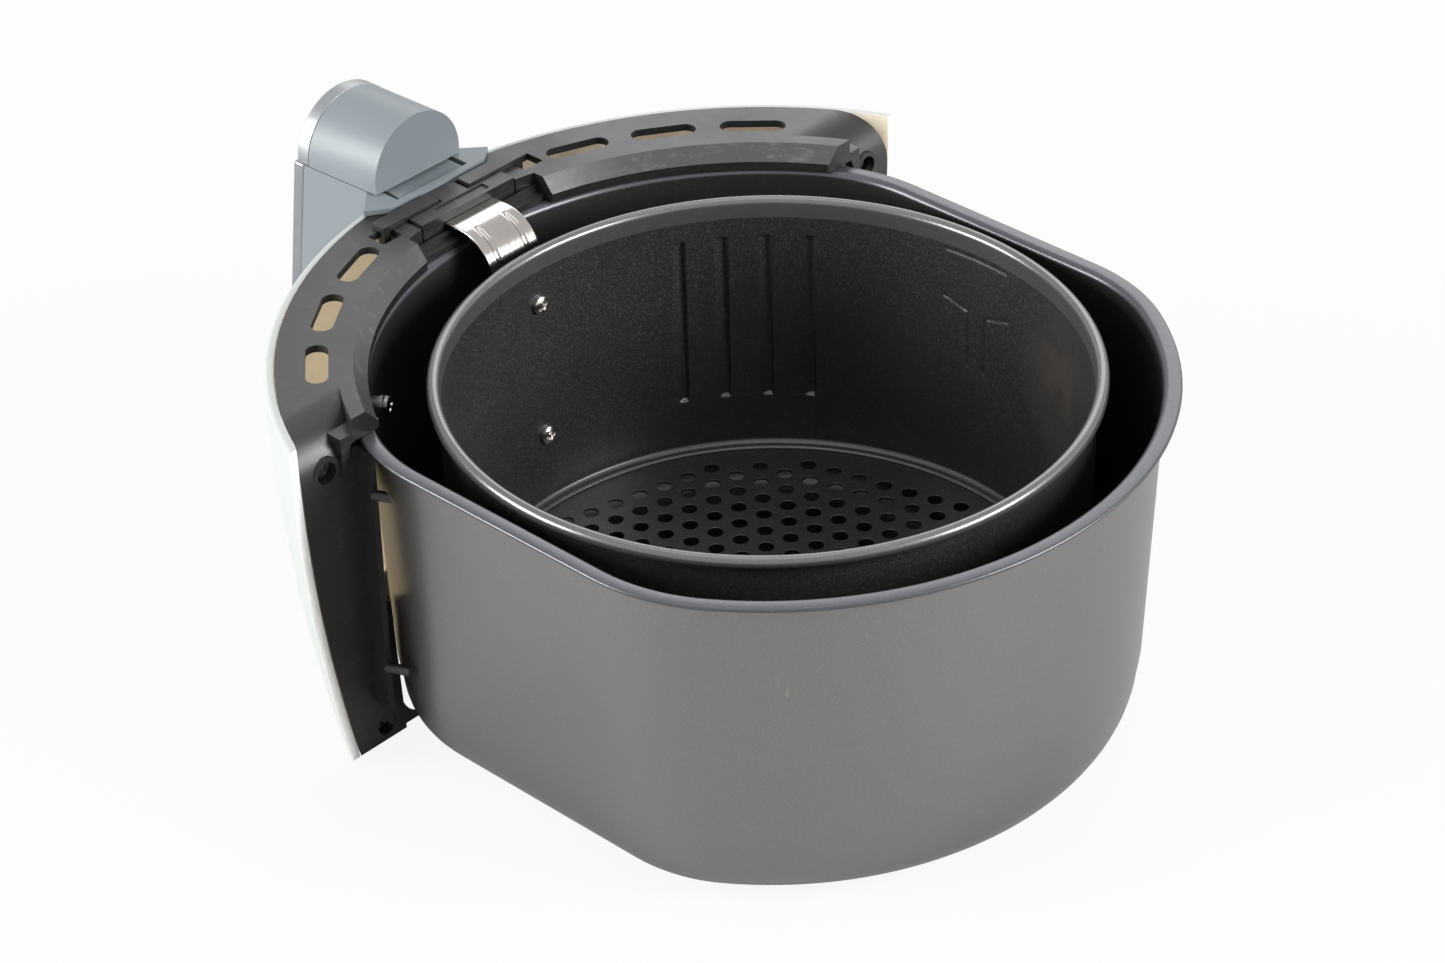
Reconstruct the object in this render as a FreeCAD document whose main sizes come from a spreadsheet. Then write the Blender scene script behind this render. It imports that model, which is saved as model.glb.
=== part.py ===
import FreeCAD, Part
import math
import os
import re

# Air fryer basket: a perforated basket on a carrying handle, standing in its pan.
# Frame: origin on the basket's axis at the height of the pan's underside, Z up,
# X to the side, and the handle towards -Y. Millimetres.

Vector = FreeCAD.Vector
Rotation = FreeCAD.Rotation
document = FreeCAD.newDocument("AirFryerBasket")

# Driving dimensions: name, value or formula in the other names, meaning

dimensions = [
    ("panHeight", 112.0, "pan, from underside to rim"),
    ("panRadius", 120.0, "pan flange, radius of its front and back arcs"),
    ("sideCut", 10.0, "how far the pan's side flats cut into its arcs"),
    ("panFlat", "=panRadius - sideCut", "pan flange, half width across the side flats"),
    ("panBlend", 60.0, "radius between a flat and an arc of the flange"),
    ("panRear", 1.5, "centre of the pan's rear arc behind the basket's axis"),
    ("panFront", 4.5, "centre of the pan's front arc before the basket's axis"),
    ("panWall", 1.0, "pan sheet"),
    ("panDraft", 2.44, "pan wall's lean in degrees"),
    ("panCorner", 16.2, "pan's outer bottom radius"),
    ("flangeWidth", 5.7, "pan flange, from inner wall to edge"),
    ("flangeThickness", 1.4, "pan flange edge"),
    ("flangeRound", 2.2, "round from flange to inner wall"),
    ("seatGap", 0.3, "running gap where one piece rests on another"),
    ("toolReach", 8.0, "how far a cutting shape goes past the piece it cuts"),

    ("rimGap", 4.3, "gap between the basket's bead and the pan's side walls"),
    ("rimRadius", "=panFlat - flangeWidth - rimGap", "basket, outer radius of the bead"),
    ("rimStep", 1.6, "basket rim above the pan's rim"),
    ("basketDepth", 89.7, "basket, rim to floor"),
    ("basketWall", 0.8, "basket sheet"),
    ("basketTaper", 1.3, "basket wall's lean from bead to floor"),
    ("basketCorner", 4.0, "basket's inner floor radius"),
    ("beadRadius", 1.9, "rolled bead of the rim"),
    ("beadDrop", 1.1, "bead's edge below its centre"),
    ("rim", "=panHeight + rimStep", "basket's rim over the pan's underside"),
    ("floor", "=rim - basketDepth", "basket's floor over the pan's underside"),
    ("holePitch", 15.0, "floor holes, centre to centre"),
    ("holeDiameter", 8.2, "floor hole"),
    ("holeField", 88.0, "radius of the perforated field"),
    ("fluteAngle", 30.5, "first flute pressed out of the wall, degrees from the handle"),
    ("fluteStep", 8.2, "degrees from flute to flute"),
    ("fluteCount", 4, "flutes"),
    ("fluteDrop", 13.5, "flute's top below the rim"),
    ("fluteLength", 58.0, "flute's length"),
    ("fluteWidth", 3.2, "flute's width inside"),
    ("fluteDepth", 0.6, "flute's depth at its top, where the leaning wall is widest"),

    ("shelfRise", 8.0, "front frame's top over the pan's rim"),
    ("shelfTop", "=panHeight + shelfRise", "front frame's top"),
    ("coverCentre", 6.4, "cover's axis in front of the basket's"),
    ("flangeCover", 3.5, "shelf's inner edge inside the pan flange's radius"),
    ("creaseRadius", "=panRadius - flangeCover", "shelf's inner edge"),
    ("apronGap", 0.3, "apron outside the pan flange's radius"),
    ("coreRadius", "=panRadius + apronGap", "frame's inner apron"),
    ("shelfWidth", 26.0, "from the shelf's inner edge to the cover's face"),
    ("coverRadius", "=creaseRadius + shelfWidth", "cover, outer radius at its top"),
    ("coverStep", 0.3, "cover's top edge under the shelf's top"),
    ("coverTop", "=shelfTop - coverStep", "cover's top edge"),
    ("coverBottom", 1.6, "cover's lower edge"),
    ("coverSag", 12.5, "how far the cover comes in at its lower edge"),
    ("coverWall", 2.7, "cover shell"),
    ("coverLip", 11.0, "cover's inner lip at the bottom"),
    ("coverRound", 1.8, "round on the cover's top edge"),
    ("rearPlane", 64.0, "wings' rear face in front of the axis"),
    ("frameWall", 2.4, "front frame's wall"),
    ("frameGap", 0.3, "gap between frame and cover"),
    ("shelfRound", 16.0, "bend from shelf to wing"),
    ("apronDepth", 38.0, "apron's depth below the shelf"),
    ("ledgeWidth", 3.9, "slanted face's width in plan"),
    ("ledgeRadius", "=creaseRadius - ledgeWidth", "ledge over the pan's flange"),
    ("ledgeFall", 4.9, "ledge's slanted face, height"),
    ("ledgeGap", 27.0, "half width of the gap in the ledge"),
    ("sillStep", 1.8, "height of each of the sill's two steps in that gap"),
    ("sillBack", 1.2, "sill's front face behind the latch housing"),
    ("sillDepth", 4.6, "sill, rear to front"),
    ("sillRib", 1.6, "sill's upper step, rear to front"),
    ("wingDepth", "=rearPlane - coverCentre", "wings' rear face in front of the cover's axis"),
    ("wingInner", "=sqrt(coreRadius ^ 2 - wingDepth ^ 2)", "apron's end at the wings, sideways"),
    ("wingOuter", "=sqrt(coverRadius ^ 2 - wingDepth ^ 2)", "cover's end at its top, sideways"),
    ("wingFoot", "=sqrt((coverRadius - coverSag) ^ 2 - wingDepth ^ 2)", "cover's end at its bottom, sideways"),
    ("lugIn", 8.6, "ledge's end lug, inward from the apron's end"),
    ("lugOut", 6.4, "ledge's end lug, outward from the apron's end"),
    ("lugInner", "=wingInner - lugIn", "ledge's end lug, inner side"),
    ("lugOuter", "=wingInner + lugOut", "ledge's end lug, outer side"),
    ("lugStand", 1.2, "lug behind the wing's rear face"),
    ("lugRear", "=rearPlane - lugStand", "lug's rear face"),
    ("lugHeight", 2.9, "lug's thickness"),
    ("gussetDrop", 10.0, "gusset below the lug"),
    ("ventInset", 10.6, "vent slots' centre line from the shelf's inner edge"),
    ("ventRadius", "=creaseRadius + ventInset", "vent slots' centre line"),
    ("ventFirst", 21.8, "first vent, degrees from the handle"),
    ("ventStep", 12.9, "degrees from vent to vent"),
    ("ventCount", 3, "vents a side"),
    ("ventLength", 21.0, "vent length"),
    ("ventWidth", 6.8, "vent width"),
    ("catchAcross", 30.3, "catch hole's centre, sideways"),
    ("catchInset", 7.6, "catch hole's centre from the shelf's inner edge"),
    ("catchForward", "=coverCentre + creaseRadius + catchInset", "catch hole's centre, forward"),
    ("catchLength", 8.0, "catch hole along X"),
    ("catchWidth", 7.0, "catch hole along Y"),
    ("ribIn", 1.8, "wing rib inward from the apron's end"),
    ("ribAcross", "=wingInner - ribIn", "wing rib's inner side"),
    ("ribThickness", 2.0, "wing rib"),
    ("ribStand", 6.2, "wing rib behind the wing's rear face"),
    ("ribRear", "=rearPlane - ribStand", "wing rib's edge"),
    ("ribBottom", 18.0, "wing rib's lower end"),
    ("ribDrop", 2.4, "wing rib's upper end under the pan's rim"),
    ("ribTop", "=panHeight - ribDrop", "wing rib's upper end"),
    ("webTop", 50.0, "top of the web between wing and pan"),
    ("webGap", 1.0, "gap between web and pan"),
    ("pegDrop", 17.4, "upper peg under the pan's rim"),
    ("pegHigh", "=panHeight - pegDrop", "upper peg"),
    ("pegLow", 32.8, "lower peg"),
    ("pegRadius", 1.6, "peg"),
    ("pegLength", 7.6, "peg's length"),
    ("pegTurn", 23.0, "peg's turn towards the pan in degrees"),
    ("cupInHigh", 13.4, "upper cover screw, in from the cover's end"),
    ("wingScrewHighAcross", "=wingOuter - cupInHigh", "upper cover screw, sideways"),
    ("cupDropHigh", 14.3, "upper cover screw under the shelf's top"),
    ("wingScrewHigh", "=shelfTop - cupDropHigh", "upper cover screw, height"),
    ("cupInLow", 14.5, "lower cover screw, in from the cover's end"),
    ("wingScrewLowAcross", "=wingFoot - cupInLow", "lower cover screw, sideways"),
    ("cupRiseLow", 5.6, "lower cover screw over the cover's lower edge"),
    ("wingScrewLow", "=coverBottom + cupRiseLow", "lower cover screw, height"),
    ("cupRadius", 5.0, "screw cup"),
    ("cupDepth", 6.2, "screw cup's depth from the rear face"),
    ("cupBore", 3.5, "screw cup's bore"),
    ("cupFloor", 1.8, "screw cup's floor"),
    ("bossRadius", 3.4, "screw boss"),
    ("tapScrewRadius", 1.6, "self-tapping screw's shank"),
    ("tapHeadRadius", 3.1, "self-tapping screw's head"),
    ("tapHeadHeight", 2.0, "self-tapping screw's head height"),
    ("tapLength", 10.0, "self-tapping screw under its head"),
    ("screwGap", 0.2, "clearance round a shank"),
    ("threadGap", 0.05, "clearance of a shank in its thread"),
    ("panScrewAngle", 34.1, "pan screw, degrees from the handle"),
    ("panScrewDrop", 23.7, "pan screw under the pan's rim"),
    ("panScrewHeight", "=panHeight - panScrewDrop", "pan screw's height"),
    ("notchHalf", 20.2, "half width of the notch for the handle"),

    ("housingTop", "=shelfTop + 1.0", "latch housing's top"),
    ("housingDepth", 15.0, "latch housing's height"),
    ("housingBottom", "=housingTop - housingDepth", "latch housing's underside"),
    ("notchBottom", "=housingBottom - tapHeadHeight - 1.0", "floor of the notch, clear of the screws"),
    ("housingHalf", "=notchHalf - 2 * seatGap", "latch housing, half width"),
    ("housingWall", 2.0, "latch housing's walls"),
    ("housingRear", "=panFront + panRadius + 0.5", "latch housing's face to the basket, forward"),
    ("bracketWidth", 21.0, "basket bracket"),
    ("bracketThickness", 1.2, "basket bracket's strip"),
    ("bracketTop", "=shelfTop - 2.0", "bracket's top face"),
    ("bracketBend", 14.0, "bracket's bend over the pan's rim"),
    ("bracketBendStart", "=housingRear - 6.5", "where the bend starts, forward"),
    ("bracketInsert", 5.8, "bracket's length inside the housing"),
    ("bracketEnd", "=housingRear + bracketInsert", "bracket's end in the housing, forward"),
    ("bracketSeat", "=rimRadius - 2 * beadRadius + basketWall + seatGap / 2", "bracket's face on the basket"),
    ("grooveAcross", 6.0, "bracket groove, sideways"),
    ("grooveWidth", 1.4, "bracket groove"),
    ("grooveDepth", 0.5, "bracket groove's depth"),
    ("bracketDropHigh", 18.2, "upper bracket screw under the rim"),
    ("bracketScrewHigh", "=rim - bracketDropHigh", "upper bracket screw"),
    ("bracketDropLow", 65.7, "lower bracket screw under the rim"),
    ("bracketScrewLow", "=rim - bracketDropLow", "lower bracket screw"),
    ("bracketBottom", "=bracketScrewLow - 7.9", "bracket's lower end"),
    ("boltRadius", 1.5, "bracket screw's shank"),
    ("boltHeadRadius", 2.9, "bracket screw's head"),
    ("boltHeadHeight", 2.0, "bracket screw's head height"),
    ("boltReach", 6.2, "bracket screw under its head"),
    ("nutWidth", 5.5, "bracket nut across its flats"),
    ("nutHeight", 2.2, "bracket nut"),
    ("bracketScrewAcross", 5.5, "screws through housing and bracket, sideways"),
    ("bracketScrewIn", 2.9, "the same screws, in from the housing's face"),
    ("bracketScrewBite", 1.5, "the same screws' bite above the bracket"),

    ("armStep", 1.0, "latch arm's rear side behind the catch hole's centre"),
    ("armRear", "=catchForward + armStep", "latch arm's rear side, forward"),
    ("armWidth", 5.5, "latch arm along Y"),
    ("armFront", "=armRear + armWidth", "latch arm's front side, forward"),
    ("armThickness", 1.8, "latch arm"),
    ("armInner", 6.5, "latch arm's inner end"),
    ("legThickness", 3.0, "latch arm's leg beside the wedge"),
    ("fingerInset", 0.7, "latch finger from the catch hole's inner side"),
    ("fingerThickness", 2.8, "latch finger"),
    ("fingerDepth", 9.0, "latch finger below the shelf"),
    ("latchTravel", 3.0, "latch arm's stroke"),

    ("tongueTop", "=shelfTop + 2.0", "handle's top face"),
    ("tongueThickness", 1.8, "handle's top wall"),
    ("tongueRear", "=armFront + 1.8", "handle tongue's rear edge, forward"),
    ("tongueHalf", 19.9, "tongue's rear edge, half width"),
    ("tongueWide", 26.7, "tongue's widest, half width"),
    ("tongueFlare", 5.0, "from the tongue's rear edge to where it is widest"),
    ("headGap", 1.0, "gap between the cover and the handle's head"),
    ("headRear", "=coverCentre + coverRadius + headGap", "handle head's rear wall, forward"),
    ("headDepth", 29.0, "handle head, rear to front"),
    ("headFront", "=headRear + headDepth", "handle head's front, forward"),
    ("gripIn", 18.1, "grip's finger side in front of the head's rear wall"),
    ("gripRear", "=headRear + gripIn", "grip's finger side, forward"),
    ("gripLean", 0.137, "how far the grip leans forward per mm"),
    ("gripBottom", 10.0, "grip's lower end"),
    ("gripKnee", 58.0, "where the grip's front starts to curve back"),
    ("gripBelly", 36.0, "where it curves most"),
    ("gripChin", 8.0, "top of the lower end's round over the end"),
    ("gripChinIn", 5.0, "how far the front has come back there"),
    ("gripToeIn", 10.0, "how far it has come back at the end"),
    ("headHeight", 26.0, "handle head's height over the finger gap"),
    ("fingerTop", "=tongueTop - headHeight", "top of the finger gap"),
    ("gripHalfRear", 17.9, "handle's half width at the cap's rear"),
    ("gripHalfFront", 19.4, "handle's half width at the trim"),
    ("gripWall", 1.6, "handle and cap walls"),
    ("capOverhang", 2.4, "cap's rear face behind the head's rear wall"),
    ("capRear", "=headRear - capOverhang", "cap's rear face, forward"),
    ("capLength", 29.3, "cap without its trim"),
    ("capFront", "=capRear + capLength", "cap's front edge, forward"),
    ("capSide", 3.2, "cap's straight side under its arch"),
    ("capGap", 0.3, "gap under the cap"),
    ("trimDepth", 5.0, "silver trim's depth"),
    ("trimProud", 0.2, "silver trim outside the grip"),
    ("backThickness", 2.0, "handle's back plate"),
    ("backScrewRise", 16.0, "lower back-plate screw over the grip's end"),
    ("backScrewDrop", 14.0, "upper back-plate screw under the finger gap's top"),
    ("housingFront", "=headRear + 8.0", "latch housing's end in the handle"),
    ("neckHalf", "=gripHalfRear - gripWall - seatGap", "latch housing, half width inside the handle"),
    ("neckTop", "=tongueTop - tongueThickness - hookDepth - 2 * seatGap", "latch housing's top inside the handle"),
    ("neckScrewAcross", 10.0, "screws up into the housing, sideways"),
    ("neckScrewForward", "=headRear + 5.0", "screws up into the housing, forward"),
    ("railGap", 0.3, "gap on both sides of the cap's rails"),
    ("railThickness", 1.1, "cap's guide rail"),
    ("railStart", "=capRear + gripWall", "guide rail's rear end, forward"),
    ("railLength", 7.0, "guide rail"),
    ("hookReach", 1.1, "guide rail's hook"),
    ("hookDepth", 2.2, "guide rail's hook, height with its gap"),
    ("guardTravel", 20.0, "cap's stroke"),
    ("openingHalf", 15.0, "opening round the button, half width"),
    ("buttonHalf", "=openingHalf - railThickness - 2 * railGap", "release button, half width"),
    ("buttonRear", "=tongueRear + 3.0", "button's rear edge, forward"),
    ("buttonFront", "=capFront - 0.8", "button's front edge, forward"),
    ("buttonGap", 0.6, "gap round the button's ends"),
    ("buttonThickness", 2.2, "button's plate"),
    ("buttonDish", 0.8, "depth of the button's dish"),
    ("buttonTravel", 3.5, "button's stroke"),
    ("stemDrop", 7.0, "button's stem below its plate"),
    ("stemHalf", 5.0, "half width of the stem"),
    ("springRadius", 4.2, "button spring, mean radius"),
    ("springWire", 0.9, "button spring's wire"),
    ("springTurns", 5.0, "button spring's turns"),
    ("springForward", "=headRear + 13.1", "button spring's axis, forward"),
]

sheet = document.addObject("Spreadsheet::Sheet", "Sizes")
for row, (name, value, meaning) in enumerate(dimensions, start=1):
    sheet.set(f"A{row}", name)
    sheet.set(f"B{row}", str(value))
    sheet.set(f"C{row}", meaning)
    sheet.setAlias(f"B{row}", name)
document.recompute()

names = {name for name, value, meaning in dimensions}


class SheetSizes:
    """Gives each cell's number by its name."""

    def __getattr__(self, name):
        return float(sheet.get(name))


size = SheetSizes()


# Helpers that tie properties to the sheet

def bind(target, path, formula):
    """Tie a property to a formula written in the sheet's names."""
    text = re.sub(r"[a-z]\w+", lambda word: "Sizes." + word.group() if word.group() in names else word.group(), formula)
    target.setExpression(path, text)


def place(target, x, y, z):
    """Tie an object's position to three formulas."""
    for axis, formula in zip("xyz", (x, y, z)):
        bind(target, "Placement.Base." + axis, formula)


def box(name, low, high):
    """A block between two corners, each a triple of formulas."""
    block = document.addObject("Part::Box", name)
    for side, start, end in zip(("Length", "Width", "Height"), low, high):
        bind(block, side, f"({end}) - ({start})")
    place(block, *low)
    return block


def cylinder(name, radius, length, start, direction):
    """A round bar from a point, given as formulas, along a direction."""
    bar = document.addObject("Part::Cylinder", name)
    bind(bar, "Radius", radius)
    bind(bar, "Height", length)
    bar.Placement = FreeCAD.Placement(Vector(), Rotation(Vector(0, 0, 1), Vector(*direction)))
    place(bar, *start)
    return bar


def fuse(name, pieces):
    """One solid made of several."""
    joined = document.addObject("Part::MultiFuse", name)
    joined.Shapes = pieces
    joined.Refine = True
    return joined


def cut(name, base, tools):
    """A solid with other solids taken away."""
    tool = tools[0] if len(tools) == 1 else fuse(name + "Tools", tools)
    result = document.addObject("Part::Cut", name)
    result.Base = base
    result.Tool = tool
    result.Refine = True
    return result


def group(name, pieces):
    """Like fasteners kept as separate solids of one node."""
    compound = document.addObject("Part::Compound", name)
    compound.Links = pieces
    return compound


# Helpers for bodies and sketches

def newBody(name):
    """An empty body."""
    body = document.addObject("PartDesign::Body", name)
    return body


def newSketch(body, name, role, lift="0"):
    """A sketch on one of the body's origin planes, lifted along its normal."""
    sketch = body.newObject("Sketcher::SketchObject", name)
    plane = next(feature for feature in body.Origin.OriginFeatures if feature.Role == role)
    sketch.AttachmentSupport = (plane, [""])
    sketch.MapMode = "FlatFace"
    bind(sketch, "AttachmentOffset.Base.z", lift)
    return sketch


def draw(sketch, start, *steps):
    """A closed outline: a step is a point to go to, or (point on the arc, end)."""
    here = Vector(start[0], start[1], 0)
    for step in steps + (start,):
        if isinstance(step[0], tuple):
            middle, end = (Vector(point[0], point[1], 0) for point in step)
            sketch.addGeometry(Part.Arc(here, middle, end), False)
        else:
            end = Vector(step[0], step[1], 0)
            if (end - here).Length > 1e-6:
                sketch.addGeometry(Part.LineSegment(here, end), False)
        here = end


def pad(body, name, sketch, length, reverse=False, middle=False):
    """Thicken a sketch."""
    feature = body.newObject("PartDesign::Pad", name)
    feature.Profile = sketch
    bind(feature, "Length", length)
    feature.Reversed = reverse
    feature.Midplane = middle
    return feature


def pocket(body, name, sketch, length="", reverse=False, middle=False):
    """Cut a sketch away, to a depth or right through."""
    feature = body.newObject("PartDesign::Pocket", name)
    feature.Profile = sketch
    if length:
        bind(feature, "Length", length)
    else:
        feature.Type = "ThroughAll"
    feature.Reversed = reverse
    feature.Midplane = middle
    return feature


def revolve(body, name, sketch):
    """Turn a sketch once round its own vertical axis."""
    feature = body.newObject("PartDesign::Revolution", name)
    feature.Profile = sketch
    feature.ReferenceAxis = (sketch, ["V_Axis"])
    feature.Angle = 360.0
    return feature


def loft(body, name, kind, sketches):
    """Join two outlines by straight walls."""
    feature = body.newObject("PartDesign::" + kind, name)
    feature.Profile = sketches[0]
    feature.Sections = sketches[1:]
    feature.Ruled = True
    return feature


def fillet(body, name, base, radius, wanted):
    """Round the edges of a feature that a test picks."""
    document.recompute()
    edges = [f"Edge{index}" for index, edge in enumerate(base.Shape.Edges, start=1) if wanted(edge)]
    feature = body.newObject("PartDesign::Fillet", name)
    feature.Base = (base, edges)
    bind(feature, "Radius", radius)
    return feature


def prism(name, role, lift, length, outlines, reverse=False, middle=False):
    """A body made of one thickened sketch of one or more outlines."""
    body = newBody(name)
    sketch = newSketch(body, name + "Outline", role, lift)
    for outline in outlines:
        draw(sketch, *outline)
    pad(body, name + "Pad", sketch, length, reverse, middle)
    return body


def flatAt(height):
    """A test for edges that lie level at a height."""
    return lambda edge: abs(edge.BoundBox.ZMin - height) < 1e-4 and abs(edge.BoundBox.ZMax - height) < 1e-4


def rectangle(left, right, low, high):
    """A rectangle for draw."""
    return ((left, low), (right, low), (right, high), (left, high))


def mirrored(outline):
    """The same outline on the other side of X = 0."""
    flip = lambda step: tuple(flip(part) for part in step) if isinstance(step[0], tuple) else (-step[0], step[1])
    return tuple(flip(step) for step in outline)


def polar(radius, degrees, centre=(0.0, 0.0)):
    """A point at a radius, with the angle counted from the handle's side."""
    angle = math.radians(degrees)
    return centre[0] + radius * math.sin(angle), centre[1] - radius * math.cos(angle)


sides = (("Left", 1), ("Right", -1))


# Pan: one deep-drawn sheet with a flange

def panOutline(inset):
    """The pan's plan, a circle with flats at both sides, moved in by an inset."""
    run, across = size.panRadius - size.panBlend, size.panFlat - size.panBlend
    reach = math.sqrt(run ** 2 - across ** 2)
    turn = math.degrees(math.atan2(reach, across))

    def onBlend(side, end, degrees):
        angle = math.radians(degrees)
        radius = size.panBlend - inset
        middle = size.panRear if end > 0 else -size.panFront
        return side * (across + radius * math.cos(angle)), middle + end * (reach + radius * math.sin(angle))

    farArc = (0.0, size.panRear + size.panRadius - inset)
    nearArc = (0.0, -size.panFront - size.panRadius + inset)
    return (
        onBlend(1, -1, 0), onBlend(1, 1, 0),
        (onBlend(1, 1, turn / 2), onBlend(1, 1, turn)),
        (farArc, onBlend(-1, 1, turn)),
        (onBlend(-1, 1, turn / 2), onBlend(-1, 1, 0)),
        onBlend(-1, -1, 0),
        (onBlend(-1, -1, turn / 2), onBlend(-1, -1, turn)),
        (nearArc, onBlend(1, -1, turn)),
        (onBlend(1, -1, turn / 2), onBlend(1, -1, 0)),
    )


def panInset(height):
    """How far the pan's wall has come in at a height, from its draft."""
    return (size.panHeight - height) * math.tan(math.radians(size.panDraft))


def panLoft(body, name, kind, inset, bottom):
    """The drafted block of the pan's wall, from a bottom height to the rim."""
    high = newSketch(body, name + "High", "XY_Plane", "panHeight")
    draw(high, *panOutline(inset))
    low = newSketch(body, name + "Low", "XY_Plane", bottom)
    height = size.panWall if bottom != "0" else 0.0
    draw(low, *panOutline(inset + panInset(height)))
    return loft(body, name, kind, [high, low])


def radialTool(name, radius, length, start, height, degrees):
    """A round bar that points away from the centre of the pan's front arc, starting at a radius."""
    x, y = polar(start, degrees, (0.0, -size.panFront))
    out = polar(1.0, degrees)
    bar = document.addObject("Part::Cylinder", name)
    bind(bar, "Radius", radius)
    bind(bar, "Height", length)
    bar.Placement = FreeCAD.Placement(Vector(x, y, 0), Rotation(Vector(0, 0, 1), Vector(out[0], out[1], 0)))
    bind(bar, "Placement.Base.z", height)
    return bar


def panWallRadius():
    """The pan wall's inner radius at its screws."""
    return size.panRadius - size.flangeWidth - panInset(size.panScrewHeight)


def makePan():
    room = newBody("PanRoom")
    inner = panLoft(room, "PanInner", "AdditiveLoft", size.flangeWidth, "panWall")
    fillet(room, "PanFloorRound", inner, "panCorner - panWall", flatAt(size.panWall))

    body = newBody("PanSheet")
    wall = panLoft(body, "PanOuter", "AdditiveLoft", size.flangeWidth - size.panWall, "0")
    fillet(body, "PanBase", wall, "panCorner", flatAt(0.0))
    flange = newSketch(body, "FlangeOutline", "XY_Plane", "panHeight - flangeThickness")
    draw(flange, *panOutline(0.0))
    pad(body, "Flange", flange, "flangeThickness")
    hollow = body.newObject("PartDesign::Boolean", "PanHollow")
    hollow.Type = "Cut"
    hollow.setObjects([room])
    body.Tip = hollow
    mouth = size.panFlat - size.flangeWidth / 2

    def onMouth(edge):
        return flatAt(size.panHeight)(edge) and all(insideMouth(vertex.Point, mouth) for vertex in edge.Vertexes)

    fillet(body, "PanRim", hollow, "flangeRound", onMouth)
    holes = [
        radialTool("PanScrewHole" + side, "tapScrewRadius + screwGap", "6", panWallRadius() - 3,
                   "panScrewHeight", sign * size.panScrewAngle)
        for side, sign in sides
    ]
    return cut("pan", body, holes)


def insideMouth(point, mouth):
    """Whether a point of the rim belongs to the inner outline."""
    middle = size.panRear if point.y > 0 else -size.panFront
    distance = math.hypot(point.x, point.y - middle)
    return abs(point.x) < mouth and distance < size.panRadius - size.flangeWidth / 2


# Basket: one deep-drawn sheet with a rolled bead and a perforated floor

def basketInner(height):
    """The basket wall's inner radius at a height."""
    top = size.rimRadius - 2 * size.beadRadius
    return top - size.basketTaper * (size.rim - height) / size.basketDepth


def makeBasket():
    body = newBody("BasketSheet")
    rim, floor = size.rim, size.floor
    sheetThickness, corner, bead = size.basketWall, size.basketCorner, size.beadRadius
    beadCentre = (size.rimRadius - bead, rim - bead)
    low = basketInner(floor)
    turn = math.sqrt(0.5)
    inside, outside = (low - corner, floor + corner), corner + sheetThickness
    thin = bead - sheetThickness
    profile = newSketch(body, "BasketProfile", "XZ_Plane")
    draw(
        profile,
        (0.0, floor),
        (low - corner, floor),
        ((inside[0] + corner * turn, inside[1] - corner * turn), (low, floor + corner)),
        (beadCentre[0] - bead, beadCentre[1]),
        ((beadCentre[0], rim), (size.rimRadius, beadCentre[1])),
        (size.rimRadius, beadCentre[1] - size.beadDrop),
        (size.rimRadius - sheetThickness, beadCentre[1] - size.beadDrop),
        (size.rimRadius - sheetThickness, beadCentre[1]),
        ((beadCentre[0], beadCentre[1] + thin), (beadCentre[0] - thin, beadCentre[1])),
        (low + sheetThickness, floor + corner),
        ((inside[0] + outside * turn, inside[1] - outside * turn), (low - corner, floor - sheetThickness)),
        (0.0, floor - sheetThickness),
    )
    revolve(body, "BasketPot", profile)

    wallHigh = basketInner(rim - size.fluteDrop)
    wallLow = basketInner(rim - size.fluteDrop - size.fluteLength)
    bottom = wallHigh + size.fluteDepth
    angle = math.radians(-size.fluteAngle)

    def fluteCorners(inner, outer, width):
        corners = []
        for radius, across in ((inner, -1), (outer, -1), (outer, 1), (inner, 1)):
            x, y = polar(radius, -size.fluteAngle)
            corners.append((x + across * width / 2 * math.cos(angle), y + across * width / 2 * math.sin(angle)))
        return corners

    back = newSketch(body, "FluteBackOutline", "XY_Plane", "rim - fluteDrop - fluteLength - basketWall")
    draw(back, *fluteCorners(wallLow + sheetThickness / 2, bottom + sheetThickness, size.fluteWidth + 2 * sheetThickness))
    backs = pad(body, "FluteBack", back, "fluteLength + 2 * basketWall")
    groove = newSketch(body, "FluteOutline", "XY_Plane", "rim - fluteDrop")
    draw(groove, *fluteCorners(wallLow - 1, bottom, size.fluteWidth))
    grooves = pocket(body, "Flute", groove, "fluteLength")
    flutes = body.newObject("PartDesign::PolarPattern", "Flutes")
    flutes.Originals = [backs, grooves]
    flutes.Axis = (back, ["N_Axis"])
    flutes.Reversed = True
    bind(flutes, "Angle", "fluteStep * (fluteCount - 1)")
    bind(flutes, "Occurrences", "fluteCount")
    body.Tip = flutes

    holes = newSketch(body, "FloorHoles", "XY_Plane", "floor")
    rowStep = size.holePitch * math.sqrt(3) / 2
    rows = int(size.holeField / rowStep)
    for line in range(-rows, rows + 1):
        shift = size.holePitch / 2 if line % 2 else 0.0
        places = int(size.holeField / size.holePitch) + 1
        for step in range(-places, places + 1):
            x, y = step * size.holePitch + shift, line * rowStep
            if math.hypot(x, y) < size.holeField - size.holeDiameter / 2:
                holes.addGeometry(Part.Circle(Vector(x, y, 0), Vector(0, 0, 1), size.holeDiameter / 2), False)
    pocket(body, "Perforation", holes, "basketWall + 2")

    screwHoles = [
        cylinder("BasketScrewHole" + level, "boltRadius + screwGap", "6",
                 ("0", "-bracketSeat - 2", "bracketScrew" + level), (0, 1, 0))
        for level in ("High", "Low")
    ]
    return cut("basket", body, screwHoles)


# Front cover: a bowed shell with a lip at the bottom

def coverAt(height, inset):
    """The cover's radius at a height, moved in by an inset: it comes in faster towards its lower edge."""
    fall = (size.coverTop - height) / (size.coverTop - size.coverBottom)
    return size.coverRadius - inset - size.coverSag * fall ** 2


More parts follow.
